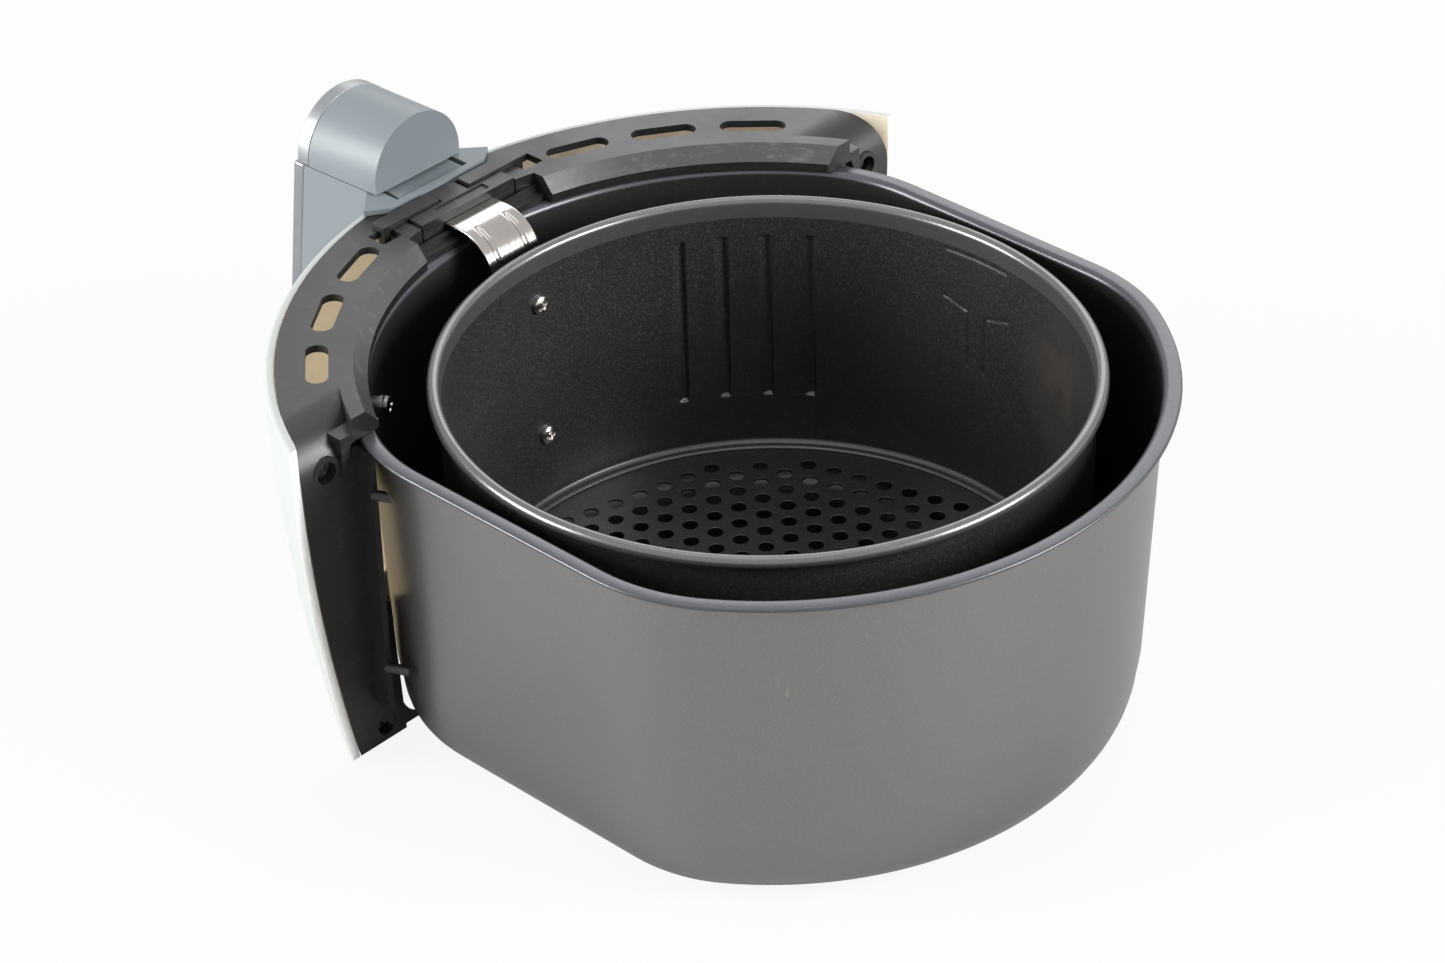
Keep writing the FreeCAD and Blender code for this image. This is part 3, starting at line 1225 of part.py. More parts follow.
def makeSpring():
    """A coil between the handle's back plate and the button's stem."""
    low = size.fingerTop + size.backThickness + size.springWire / 2 + 0.1
    high = size.tongueTop - size.buttonThickness - size.stemDrop - size.springWire / 2 - 0.1
    pitch = (high - low) / size.springTurns
    path = Part.makeHelix(pitch, high - low, size.springRadius)
    section = Part.Wire(Part.makeCircle(size.springWire / 2, Vector(size.springRadius, 0, 0), Vector(0, 1, 0)))
    coil = Part.Wire(path).makePipeShell([section], True, True)
    spring = document.addObject("Part::Feature", "button_spring")
    spring.Shape = coil
    spring.Placement = FreeCAD.Placement(Vector(0, -size.springForward, low), Rotation())
    return spring


def makeLatch(side, sign):
    """One latch arm: a bar over the shelf, a finger in the catch hole and a leg beside the wedge."""
    edge = size.catchAcross - size.catchLength / 2 + size.fingerInset
    seat, top = size.shelfTop + size.seatGap / 2, size.shelfTop + size.seatGap / 2 + size.armThickness
    slope = size.latchTravel / size.buttonTravel
    low = size.housingBottom + size.housingWall + 4.5
    high = size.tongueTop - size.tongueThickness - size.housingWall - 0.4
    inner = size.armInner
    foot = inner - slope * (high - low)
    bar = (
        (foot, low), (foot + size.legThickness, low), (inner + size.legThickness, high), (inner + size.legThickness, seat),
        (edge, seat), (edge, size.shelfTop - size.fingerDepth), (edge + size.fingerThickness, size.shelfTop - size.fingerDepth),
        (edge + size.fingerThickness, top), (inner, top), (inner, high),
    )
    outline = bar if sign > 0 else mirrored(bar)
    whole = prism(f"Latch{side}Bar", "XZ_Plane", "armRear", "armFront - armRear", [outline])
    narrow = box(f"Latch{side}Trim", (f"{edge - 0.4}" if sign > 0 else f"{-edge - 8}", "-armFront - 1", "0"),
                 (f"{edge + 8}" if sign > 0 else f"{-edge + 0.4}", "-catchForward - catchWidth / 2 + seatGap", "shelfTop + seatGap / 4"))
    return cut(side.lower() + "_latch", whole, [narrow])


# Build and check every piece, then write it

pieces = [
    makePan(), makeBasket(), makeCover(), makeFrame(),
    makePanScrews(), makeCoverScrews(), makeBracketScrews(), makeBracketNuts(), makeBracket(),
    makeHousing(), makeHousingScrews(), makeHandleShell(), makeHandleBack(), makeHandleScrews(), makeHandleTrim(),
    makeGuard(), makeGuardTrim(), makeButton(), makeSpring(),
] + [makeLatch(side, sign) for side, sign in sides]
document.recompute()

faults = [
    f"{item.Label}: {', '.join(item.State)}" for item in document.Objects
    if "Invalid" in item.State or "Error" in item.State
]
for piece in pieces:
    if piece.Shape.isNull() or not piece.Shape.isValid() or not piece.Shape.Solids:
        faults.append(f"{piece.Label}: no valid solid")
if faults:
    raise RuntimeError("; ".join(faults))

os.makedirs("parts", exist_ok=True)
for piece in pieces:
    piece.Shape.exportStep(f"parts/{piece.Label}.step")
    print(piece.Label, len(piece.Shape.Solids), "solid(s)", round(piece.Shape.Volume / 1000, 2), "cm3")
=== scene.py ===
# Air fryer basket: looks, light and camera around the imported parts
import math

import bmesh
import bpy
import numpy as np
from mathutils import Matrix


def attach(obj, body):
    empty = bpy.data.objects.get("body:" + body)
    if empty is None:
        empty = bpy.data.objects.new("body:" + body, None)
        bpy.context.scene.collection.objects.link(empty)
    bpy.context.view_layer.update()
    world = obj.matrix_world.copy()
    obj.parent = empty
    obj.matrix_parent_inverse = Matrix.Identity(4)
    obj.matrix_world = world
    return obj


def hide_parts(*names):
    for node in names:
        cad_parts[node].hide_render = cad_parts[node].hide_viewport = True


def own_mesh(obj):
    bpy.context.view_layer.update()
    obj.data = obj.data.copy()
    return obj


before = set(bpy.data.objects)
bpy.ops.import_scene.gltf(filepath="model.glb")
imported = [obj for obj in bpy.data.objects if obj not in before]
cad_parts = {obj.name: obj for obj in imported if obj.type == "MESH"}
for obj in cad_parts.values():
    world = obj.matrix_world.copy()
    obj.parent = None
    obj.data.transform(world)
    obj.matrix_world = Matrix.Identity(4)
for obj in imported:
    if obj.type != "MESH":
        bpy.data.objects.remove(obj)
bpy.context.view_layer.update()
mm = 0.001
print("frame loaded")


# Camera and light

view = {
    "place": (760.9, 708.5, 773.7),      # mm
    "right": (-0.68124, 0.73178, -0.02013),
    "up": (-0.42075, -0.36890, 0.82884),
    "lens": 104.64,                      # mm on a 36 mm wide sensor
}

studio = {                               # lamps in metres and watts
    "worldLight": 0.26,
    "floorInGloss": 0.1,                 # how far the floor looks white in a reflection
    "top": {"place": (-0.1, -0.1, 1.4), "aim": (0, 0, 0.1), "size": (0.9, 0.9), "power": 3.0},
    "left": {"place": (1.20, -0.88, 0.55), "aim": (0, 0, 0.10), "size": (0.8, 0.7), "power": 31.0},
    "right": {"place": (-0.62, 1.36, 0.75), "aim": (0, 0, 0.10), "size": (0.8, 0.7), "power": 34.0},
    "back": {"place": (-1.25, -0.80, 0.95), "aim": (0, 0, 0.1), "size": (1.1, 0.7), "power": 6.0},
}


def makeCamera():
    camera = bpy.data.objects.new("camera", bpy.data.cameras.new("camera"))
    right = np.array(view["right"])
    up = np.array(view["up"])
    back = np.cross(right, up)
    turn = Matrix([[right[i], up[i], back[i]] for i in range(3)]).to_4x4()
    camera.matrix_world = Matrix.Translation([value * mm for value in view["place"]]) @ turn
    camera.data.lens = view["lens"]
    camera.data.sensor_width = 36
    camera.data.sensor_fit = "HORIZONTAL"
    camera.data.clip_start = 0.05
    camera.data.clip_end = 20
    bpy.context.collection.objects.link(camera)
    bpy.context.scene.camera = camera


def addLamp(name, place, aim, size, power):
    lamp = bpy.data.objects.new(name, bpy.data.lights.new(name, "AREA"))
    lamp.data.shape = "RECTANGLE"
    lamp.data.size, lamp.data.size_y = size
    lamp.data.energy = power
    away = np.array(place, float) - np.array(aim, float)
    away /= np.linalg.norm(away)
    side = np.cross((0, 0, 1.0), away) if abs(away[2]) < 0.99 else np.array((1.0, 0, 0))
    side /= np.linalg.norm(side)
    up = np.cross(away, side)
    turn = Matrix([[side[i], up[i], away[i]] for i in range(3)]).to_4x4()
    lamp.matrix_world = Matrix.Translation(place) @ turn
    bpy.context.collection.objects.link(lamp)


def seenShare(tree, camera, gloss):
    # how much a surface shows plain white: one share for the camera's rays, one for rays off gloss or through glass
    path = tree.nodes.new("ShaderNodeLightPath")
    shown = None
    for label, share in (("Is Camera Ray", camera), ("Is Glossy Ray", gloss), ("Is Transmission Ray", gloss)):
        part = tree.nodes.new("ShaderNodeMath")
        part.operation = "MULTIPLY"
        part.inputs[1].default_value = share
        tree.links.new(path.outputs[label], part.inputs[0])
        if shown is None:
            shown = part.outputs[0]
            continue
        both = tree.nodes.new("ShaderNodeMath")
        both.operation = "MAXIMUM"
        tree.links.new(shown, both.inputs[0])
        tree.links.new(part.outputs[0], both.inputs[1])
        shown = both.outputs[0]
    return shown


def makeStudio():
    world = bpy.data.worlds.new("studio")
    bpy.context.scene.world = world
    world.use_nodes = True
    nodes, links = world.node_tree.nodes, world.node_tree.links
    strength = nodes.new("ShaderNodeMix")                   # float: A lights the object, B is what is seen
    strength.inputs["A"].default_value = studio["worldLight"]
    strength.inputs["B"].default_value = 1.0
    links.new(seenShare(world.node_tree, 1.0, 1.0), strength.inputs["Factor"])
    links.new(strength.outputs["Result"], nodes["Background"].inputs["Strength"])
    nodes["Background"].inputs["Color"].default_value = (1, 1, 1, 1)

    for name in ("top", "left", "right", "back"):
        addLamp(name + "Lamp", *[studio[name][key] for key in ("place", "aim", "size", "power")])

    bpy.ops.mesh.primitive_plane_add(size=8, location=(0, 0, -0.0006))
    floor = bpy.context.object
    floor.name = "floor"
    paint = bpy.data.materials.new("floorPaper")
    paint.use_nodes = True
    nodes, links = paint.node_tree.nodes, paint.node_tree.links
    shader = nodes["Principled BSDF"]
    shader.inputs["Base Color"].default_value = (0.62, 0.62, 0.62, 1)
    shader.inputs["Roughness"].default_value = 0.9
    glow = nodes.new("ShaderNodeEmission")
    mixed = nodes.new("ShaderNodeMixShader")
    links.new(seenShare(paint.node_tree, 0.9, studio["floorInGloss"]), mixed.inputs[0])
    links.new(shader.outputs[0], mixed.inputs[1])
    links.new(glow.outputs[0], mixed.inputs[2])
    links.new(mixed.outputs[0], nodes["Material Output"].inputs["Surface"])
    floor.data.materials.append(paint)


bpy.context.scene.view_settings.view_transform = "Standard"
makeCamera()
makeStudio()
print("camera and light ready")


# Shader groups used by several finishes

def newGroup(name, inputs):
    group = bpy.data.node_groups.new(name, "ShaderNodeTree")
    for label, kind, value in inputs:
        socket = group.interface.new_socket(label, in_out="INPUT", socket_type=kind)
        socket.default_value = value
    for label, kind in (("Color", "NodeSocketColor"), ("Roughness", "NodeSocketFloat"), ("Normal", "NodeSocketVector")):
        group.interface.new_socket(label, in_out="OUTPUT", socket_type=kind)
    place = group.nodes.new("ShaderNodeTexCoord").outputs["Object"]
    return group, group.nodes.new("NodeGroupInput"), group.nodes.new("NodeGroupOutput"), place


def noiseNode(tree, vector, scale, detail=3.0, rough=0.5):
    node = tree.nodes.new("ShaderNodeTexNoise")
    node.inputs["Detail"].default_value = detail
    node.inputs["Roughness"].default_value = rough
    tree.links.new(vector, node.inputs["Vector"])
    if isinstance(scale, (int, float)):
        node.inputs["Scale"].default_value = scale
    else:
        tree.links.new(scale, node.inputs["Scale"])
    return node.outputs["Fac"]


def spread(tree, value, low, high, fromLow=0.3, fromHigh=0.7):
    node = tree.nodes.new("ShaderNodeMapRange")
    node.inputs["From Min"].default_value = fromLow
    node.inputs["From Max"].default_value = fromHigh
    for label, limit in (("To Min", low), ("To Max", high)):
        if isinstance(limit, (int, float)):
            node.inputs[label].default_value = limit
        else:
            tree.links.new(limit, node.inputs[label])
    tree.links.new(value, node.inputs["Value"])
    return node.outputs["Result"]


def times(tree, first, second):
    node = tree.nodes.new("ShaderNodeMath")
    node.operation = "MULTIPLY"
    tree.links.new(first, node.inputs[0])
    if isinstance(second, (int, float)):
        node.inputs[1].default_value = second
    else:
        tree.links.new(second, node.inputs[1])
    return node.outputs[0]


def blend(tree, amount, first, second):
    node = tree.nodes.new("ShaderNodeMix")
    node.data_type = "RGBA"
    tree.links.new(amount, node.inputs["Factor"])
    for label, colour in (("A", first), ("B", second)):
        if isinstance(colour, tuple):
            next(s for s in node.inputs if s.name == label and s.type == "RGBA").default_value = colour
        else:
            tree.links.new(colour, next(s for s in node.inputs if s.name == label and s.type == "RGBA"))
    return next(s for s in node.outputs if s.type == "RGBA")


def bumpNormal(tree, height, strength, distance):
    node = tree.nodes.new("ShaderNodeBump")
    node.inputs["Distance"].default_value = distance
    tree.links.new(strength, node.inputs["Strength"])
    tree.links.new(height, node.inputs["Height"])
    return node.outputs["Normal"]


def stretched(tree, vector, scale):
    node = tree.nodes.new("ShaderNodeMapping")
    node.inputs["Scale"].default_value = scale
    tree.links.new(vector, node.inputs["Vector"])
    return node.outputs["Vector"]


def makeCoatingGroup():
    # sprayed non-stick coating: fine specks in tone and gloss, a soft cloud over them and a fine bump
    group, start, end, place = newGroup("sprayedCoating", [
        ("Tone", "NodeSocketColor", (0.1, 0.1, 0.1, 1)), ("Fleck Tone", "NodeSocketColor", (0.2, 0.2, 0.2, 1)),
        ("Flecks", "NodeSocketFloat", 0.5), ("Rough Low", "NodeSocketFloat", 0.3),
        ("Rough High", "NodeSocketFloat", 0.45), ("Bump", "NodeSocketFloat", 0.1)])
    specks = noiseNode(group, place, 1700.0, 2.0, 0.6)
    cloud = noiseNode(group, place, 14.0, 4.0, 0.55)
    amount = times(group, spread(group, specks, 0.0, 1.0, 0.50, 0.74), start.outputs["Flecks"])
    group.links.new(blend(group, amount, start.outputs["Tone"], start.outputs["Fleck Tone"]), end.inputs["Color"])
    rough = spread(group, cloud, start.outputs["Rough Low"], start.outputs["Rough High"])
    group.links.new(rough, end.inputs["Roughness"])
    group.links.new(bumpNormal(group, specks, start.outputs["Bump"], 0.00006), end.inputs["Normal"])
    return group


def makePlasticGroup():
    # moulded plastic: fine spark grain, slow gloss changes, and short rubbed marks in both
    group, start, end, place = newGroup("mouldedPlastic", [
        ("Tone", "NodeSocketColor", (0.1, 0.1, 0.1, 1)), ("Rub Tone", "NodeSocketColor", (0.2, 0.2, 0.2, 1)),
        ("Rubs", "NodeSocketFloat", 0.4), ("Rough Low", "NodeSocketFloat", 0.3), ("Rough High", "NodeSocketFloat", 0.5),
        ("Grain Scale", "NodeSocketFloat", 1500.0), ("Bump", "NodeSocketFloat", 0.15)])
    grain = noiseNode(group, place, start.outputs["Grain Scale"], 2.0, 0.5)
    cloud = noiseNode(group, place, 30.0, 4.0, 0.6)
    rubs = noiseNode(group, stretched(group, place, (1.0, 0.35, 2.2)), 260.0, 5.0, 0.7)
    amount = times(group, spread(group, rubs, 0.0, 1.0, 0.55, 0.78), start.outputs["Rubs"])
    group.links.new(blend(group, amount, start.outputs["Tone"], start.outputs["Rub Tone"]), end.inputs["Color"])
    rough = spread(group, cloud, start.outputs["Rough Low"], start.outputs["Rough High"])
    group.links.new(rough, end.inputs["Roughness"])
    group.links.new(bumpNormal(group, grain, start.outputs["Bump"], 0.00008), end.inputs["Normal"])
    return group


def makeMetalGroup():
    # plated or drawn metal: a faint cloud of stains, and fine lines along one direction in the gloss
    group, start, end, place = newGroup("platedMetal", [
        ("Tone", "NodeSocketColor", (0.8, 0.8, 0.8, 1)), ("Stain Tone", "NodeSocketColor", (0.4, 0.4, 0.4, 1)),
        ("Stains", "NodeSocketFloat", 0.3), ("Rough Low", "NodeSocketFloat", 0.08),
        ("Rough High", "NodeSocketFloat", 0.2), ("Bump", "NodeSocketFloat", 0.05)])
    cloud = noiseNode(group, place, 90.0, 4.0, 0.6)
    drawn = noiseNode(group, stretched(group, place, (20.0, 1.0, 1.0)), 200.0, 3.0, 0.6)
    amount = times(group, spread(group, cloud, 0.0, 1.0, 0.5, 0.75), start.outputs["Stains"])
    group.links.new(blend(group, amount, start.outputs["Tone"], start.outputs["Stain Tone"]), end.inputs["Color"])
    rough = spread(group, drawn, start.outputs["Rough Low"], start.outputs["Rough High"])
    group.links.new(rough, end.inputs["Roughness"])
    group.links.new(bumpNormal(group, drawn, start.outputs["Bump"], 0.00005), end.inputs["Normal"])
    return group


coatingGroup = makeCoatingGroup()
plasticGroup = makePlasticGroup()
metalGroup = makeMetalGroup()


# Finishes

def makeFinish(name, group, values, metallic=0.0, coat=0.0, coatRough=0.1, glow=0.0, gloss=0.5, patches=()):
    finish = bpy.data.materials.new(name)
    finish.use_nodes = True
    tree = finish.node_tree
    shader = tree.nodes["Principled BSDF"]
    shader.inputs["Metallic"].default_value = metallic
    shader.inputs["Specular IOR Level"].default_value = gloss
    shader.inputs["Coat Weight"].default_value = coat
    shader.inputs["Coat Roughness"].default_value = coatRough
    if glow:                                                # light that soaks through a thin wall
        shader.inputs["Subsurface Weight"].default_value = glow
        shader.inputs["Subsurface Radius"].default_value = (1.0, 0.95, 0.9)
        shader.inputs["Subsurface Scale"].default_value = 0.012
    effect = tree.nodes.new("ShaderNodeGroup")
    effect.node_tree = group
    for label, value in values.items():
        effect.inputs[label].default_value = value
    colour = effect.outputs["Color"]
    for patch in patches:
        colour = blend(tree, patchMask(tree, patch), colour, patch["tone"])
    tree.links.new(colour, shader.inputs["Base Color"])
    tree.links.new(effect.outputs["Roughness"], shader.inputs["Roughness"])
    tree.links.new(effect.outputs["Normal"], shader.inputs["Normal"])
    return finish


def patchMask(tree, patch):
    # an ellipsoid about a spot, in mm and degrees, that fades outward and is broken up by noise
    place = tree.nodes.new("ShaderNodeTexCoord").outputs["Object"]
    local = tree.nodes.new("ShaderNodeMapping")
    local.vector_type = "TEXTURE"
    local.inputs["Location"].default_value = [value * mm for value in patch["centre"]]
    local.inputs["Rotation"].default_value = [math.radians(value) for value in patch["turn"]]
    local.inputs["Scale"].default_value = [value * mm for value in patch["half"]]
    tree.links.new(place, local.inputs["Vector"])
    distance = tree.nodes.new("ShaderNodeVectorMath")
    distance.operation = "LENGTH"
    tree.links.new(local.outputs["Vector"], distance.inputs[0])
    near = spread(tree, distance.outputs["Value"], patch["strength"], 0.0, patch.get("core", 0.2), 1.0)
    return times(tree, near, spread(tree, noiseNode(tree, place, patch["grain"], 3.0, 0.6), 0.25, 1.0, 0.35, 0.6))


scuffs = [                                                  # two faint strokes on the pan's outer wall
    {"centre": (83.6, 79.6, 82.5), "half": (1.2, 1.2, 6.0), "turn": (8, -8, 0), "tone": (0.30, 0.30, 0.27, 1),
     "strength": 0.30, "grain": 900.0},
    {"centre": (81.4, 81.2, 79.2), "half": (0.9, 0.9, 5.2), "turn": (14, -14, 0), "tone": (0.42, 0.42, 0.38, 1),
     "strength": 0.45, "grain": 900.0},
]
paintedBrownSheen = [                                                 # painted sheen: a lighter brownish cloud on the basket's inner wall
    {"centre": (-86.0, 41.0, 82.0), "half": (26.0, 26.0, 34.0), "turn": (0, 0, 0), "tone": (0.060, 0.052, 0.044, 1),
     "strength": 0.8, "grain": 60.0},
]

finishes = {
    "panOutside": makeFinish("panOutside", coatingGroup, {
        "Tone": (0.222, 0.217, 0.209, 1), "Fleck Tone": (0.31, 0.302, 0.29, 1), "Flecks": 0.45,
        "Rough Low": 0.34, "Rough High": 0.39, "Bump": 0.12}, metallic=0.92, patches=scuffs),
    "panInside": makeFinish("panInside", coatingGroup, {
        "Tone": (0.016, 0.016, 0.016, 1), "Fleck Tone": (0.045, 0.045, 0.046, 1), "Flecks": 0.6,
        "Rough Low": 0.30, "Rough High": 0.38, "Bump": 0.15}, gloss=0.8),
    "basketCoat": makeFinish("basketCoat", coatingGroup, {
        "Tone": (0.018, 0.018, 0.0185, 1), "Fleck Tone": (0.085, 0.085, 0.088, 1), "Flecks": 0.8,
        # the basket's coat carries a painted sheen patch on its inner wall
        "Rough Low": 0.30, "Rough High": 0.38, "Bump": 0.25}, gloss=0.9, patches=paintedBrownSheen),
    "rimCoat": makeFinish("rimCoat", coatingGroup, {
        "Tone": (0.075, 0.078, 0.086, 1), "Fleck Tone": (0.13, 0.134, 0.142, 1), "Flecks": 0.5,
        "Rough Low": 0.26, "Rough High": 0.34, "Bump": 0.12}, metallic=0.4),
    # the basket's rim bead: a lighter coat, partly worn metal and partly painted highlight
    "beadWornSheen": makeFinish("beadWornSheen", coatingGroup, {
        "Tone": (0.15, 0.147, 0.145, 1), "Fleck Tone": (0.22, 0.217, 0.215, 1), "Flecks": 0.5,
        "Rough Low": 0.22, "Rough High": 0.30, "Bump": 0.10}, metallic=0.6),
    "frameBlack": makeFinish("frameBlack", plasticGroup, {
        "Tone": (0.017, 0.017, 0.017, 1), "Rub Tone": (0.075, 0.076, 0.078, 1), "Rubs": 0.5,
        "Rough Low": 0.28, "Rough High": 0.42, "Grain Scale": 1400.0, "Bump": 0.35}),
    # the frame's ledge: a lighter tone with rubs, partly real wear and partly painted sheen
    "frameRubbedSheen": makeFinish("frameRubbedSheen", plasticGroup, {
        "Tone": (0.045, 0.045, 0.046, 1), "Rub Tone": (0.16, 0.16, 0.165, 1), "Rubs": 0.8,
        "Rough Low": 0.22, "Rough High": 0.34, "Grain Scale": 1400.0, "Bump": 0.3}, gloss=0.8),
    "coverPearl": makeFinish("coverPearl", plasticGroup, {
        "Tone": (0.50, 0.525, 0.51, 1), "Rub Tone": (0.46, 0.48, 0.47, 1), "Rubs": 0.08,
        "Rough Low": 0.30, "Rough High": 0.38, "Grain Scale": 800.0, "Bump": 0.02}, gloss=0.35),
    # a lighter copy of the cover's pearl colour for its rear-facing edges: painted light on the same plastic
    "coverEdgePaintedLight": makeFinish("coverEdgePaintedLight", plasticGroup, {
        "Tone": (0.78, 0.80, 0.77, 1), "Rub Tone": (0.72, 0.74, 0.71, 1), "Rubs": 0.08,
        "Rough Low": 0.30, "Rough High": 0.38, "Grain Scale": 800.0, "Bump": 0.02}, glow=0.6, gloss=0.35),
    "coverTan": makeFinish("coverTan", plasticGroup, {
        "Tone": (0.80, 0.65, 0.50, 1), "Rub Tone": (0.74, 0.59, 0.44, 1), "Rubs": 0.2,
        "Rough Low": 0.5, "Rough High": 0.6, "Grain Scale": 900.0, "Bump": 0.1}, glow=1.0),
    "handleGrey": makeFinish("handleGrey", plasticGroup, {
        "Tone": (0.205, 0.232, 0.250, 1), "Rub Tone": (0.24, 0.268, 0.285, 1), "Rubs": 0.15,
        "Rough Low": 0.38, "Rough High": 0.46, "Grain Scale": 2200.0, "Bump": 0.15}),
    "trimSilver": makeFinish("trimSilver", metalGroup, {
        "Tone": (0.30, 0.31, 0.32, 1), "Stain Tone": (0.25, 0.26, 0.27, 1), "Stains": 0.2,
        "Rough Low": 0.34, "Rough High": 0.42, "Bump": 0.03}, metallic=0.8),
    "chromePlate": makeFinish("chromePlate", metalGroup, {
        "Tone": (0.41, 0.39, 0.37, 1), "Stain Tone": (0.27, 0.25, 0.23, 1), "Stains": 0.35,
        "Rough Low": 0.10, "Rough High": 0.20, "Bump": 0.08}, metallic=1.0),
    "screwDark": makeFinish("screwDark", metalGroup, {
        "Tone": (0.12, 0.12, 0.12, 1), "Stain Tone": (0.05, 0.05, 0.05, 1), "Stains": 0.4,
        "Rough Low": 0.3, "Rough High": 0.4, "Bump": 0.1}, metallic=0.8),
    "screwBright": makeFinish("screwBright", metalGroup, {
        "Tone": (0.66, 0.64, 0.61, 1), "Stain Tone": (0.30, 0.28, 0.25, 1), "Stains": 0.4,
        "Rough Low": 0.16, "Rough High": 0.28, "Bump": 0.1}, metallic=1.0),
    "springSteel": makeFinish("springSteel", metalGroup, {
        "Tone": (0.5, 0.5, 0.5, 1), "Stain Tone": (0.3, 0.3, 0.3, 1), "Stains": 0.3,
        "Rough Low": 0.2, "Rough High": 0.3, "Bump": 0.05}, metallic=1.0),
}
print("finishes ready")


# Mesh tools

def gridFaces(rows, columns, closeRows=False, closeColumns=True):
    # quads between neighbouring rows and columns of a grid, as one array
    rowIndex = np.arange(rows if closeRows else rows - 1)
    columnIndex = np.arange(columns if closeColumns else columns - 1)
    r, c = np.meshgrid(rowIndex, columnIndex, indexing="ij")
    nextRow, nextColumn = (r + 1) % rows, (c + 1) % columns
    faces = np.stack([r * columns + c, r * columns + nextColumn,
                      nextRow * columns + nextColumn, nextRow * columns + c], axis=-1)
    return faces.reshape(-1, 4)


def fanFaces(centre, ring):
    # triangles from one point to a closed ring of points
    return np.stack([np.full(len(ring), centre), ring, np.roll(ring, -1)], axis=-1)


def meshPiece(name, points, faces, finish, smooth=True):
    # a piece from points in mm and from faces of three or four corners, its faces turned outward
    mesh = bpy.data.meshes.new(name)
    mesh.from_pydata((np.asarray(points).reshape(-1, 3) * mm).tolist(), [], [list(face) for face in faces])
    work = bmesh.new()
    work.from_mesh(mesh)
    bmesh.ops.recalc_face_normals(work, faces=work.faces)
    work.to_mesh(mesh)
    work.free()
    piece = bpy.data.objects.new(name, mesh)
    bpy.context.collection.objects.link(piece)
    mesh.materials.append(finish)
    if smooth:
        mesh.shade_smooth()
    return piece


def facePlaces(mesh):
    centres, normals = np.empty(len(mesh.polygons) * 3), np.empty(len(mesh.polygons) * 3)
    mesh.polygons.foreach_get("center", centres)
    mesh.polygons.foreach_get("normal", normals)
    return centres.reshape(-1, 3) / mm, normals.reshape(-1, 3)


def finishedCopy(node, name, finish, width=0.3, angle=30.0, segments=2, others=(), choose=None):
    # a merged copy of a node's mesh with its flat faces joined and its edges rounded;
    # choose gives faces one of the others
    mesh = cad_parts[node].data.copy()
    mesh.name = name
    work = bmesh.new()
    work.from_mesh(mesh)
    bmesh.ops.remove_doubles(work, verts=work.verts, dist=0.000002)
    bmesh.ops.dissolve_limit(work, angle_limit=math.radians(0.4), verts=work.verts, edges=work.edges)
    work.to_mesh(mesh)
    work.free()
    for layer in [layer.name for layer in mesh.attributes if layer.name == "custom_normal"]:
        mesh.attributes.remove(mesh.attributes[layer])
    mesh.materials.clear()
    mesh.materials.append(finish)
    mesh.polygons.foreach_set("material_index", np.zeros(len(mesh.polygons), dtype=np.int32))
    for other in others:
        mesh.materials.append(other)
    if others:
        mesh.polygons.foreach_set("material_index", choose(*facePlaces(mesh)).astype(np.int32))
    mesh.shade_smooth()
    piece = bpy.data.objects.new(name, mesh)
    bpy.context.collection.objects.link(piece)
    if width:
        bevel = piece.modifiers.new("edges", "BEVEL")
        bevel.width = width * mm
        bevel.segments = segments
        bevel.limit_method = "ANGLE"
        bevel.angle_limit = math.radians(angle)
        bevel.use_clamp_overlap = True
        normals = piece.modifiers.new("normals", "WEIGHTED_NORMAL")
        normals.keep_sharp = True
    else:
        mesh.set_sharp_from_angle(angle=math.radians(angle))
    return piece


def settle(piece, body, slot, *nodes):
    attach(piece, body)
    if nodes:
        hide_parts(*nodes)


def arcPoints(centre, radius, start, stop, count):
    # points on an arc in a profile's plane, angles in degrees
    angles = np.radians(np.linspace(start, stop, count))
    return np.stack([centre[0] + radius * np.cos(angles), centre[1] + radius * np.sin(angles)], axis=-1)


def smoothStep(value, low, high):
    share = np.clip((value - low) / (high - low), 0, 1)
    return share * share * (3 - 2 * share)


# Pan

pan = {
    "height": 112.0, "radius": 120.0, "flat": 110.0, "blend": 60.0, "rear": 1.5, "front": 4.5,
    "wall": 1.0, "draft": 2.44, "corner": 16.2, "flange": 5.7, "edge": 1.4, "round": 2.2,
}


def panRing(inset, height, samples):
    # the pan's plan at an inset: front and rear arcs, blends and side flats, evenly sampled along each
    run, across = pan["radius"] - pan["blend"], pan["flat"] - pan["blend"]
    reach = math.sqrt(run ** 2 - across ** 2)
    turn = math.atan2(reach, across)
    blend = pan["blend"] - inset
    parts = []
    for end, middle in ((1, pan["rear"]), (-1, -pan["front"])):
        for side in ((1, -1) if end > 0 else (-1, 1)):
            angles = np.linspace(0, turn, samples["blend"], endpoint=False)
            if side * end < 0:
                angles = turn - angles
            parts.append(np.stack([side * (across + blend * np.cos(angles)),
                                   middle + end * (reach + blend * np.sin(angles))], axis=-1))
            if side == end:
                far = np.linspace(turn, math.pi - turn, samples["arc"], endpoint=False)
                parts.append(np.stack([end * (pan["radius"] - inset) * np.cos(far),
                                       middle + end * (pan["radius"] - inset) * np.sin(far)], axis=-1))
            else:
                start, stop = end * reach + middle, -end * reach + (pan["rear"] if end < 0 else -pan["front"])
                y = np.linspace(start, stop, samples["flat"], endpoint=False)
                parts.append(np.stack([np.full_like(y, side * (pan["flat"] - inset)), y], axis=-1))
    plan = np.concatenate(parts)
    return np.column_stack([plan, np.full(len(plan), height)])


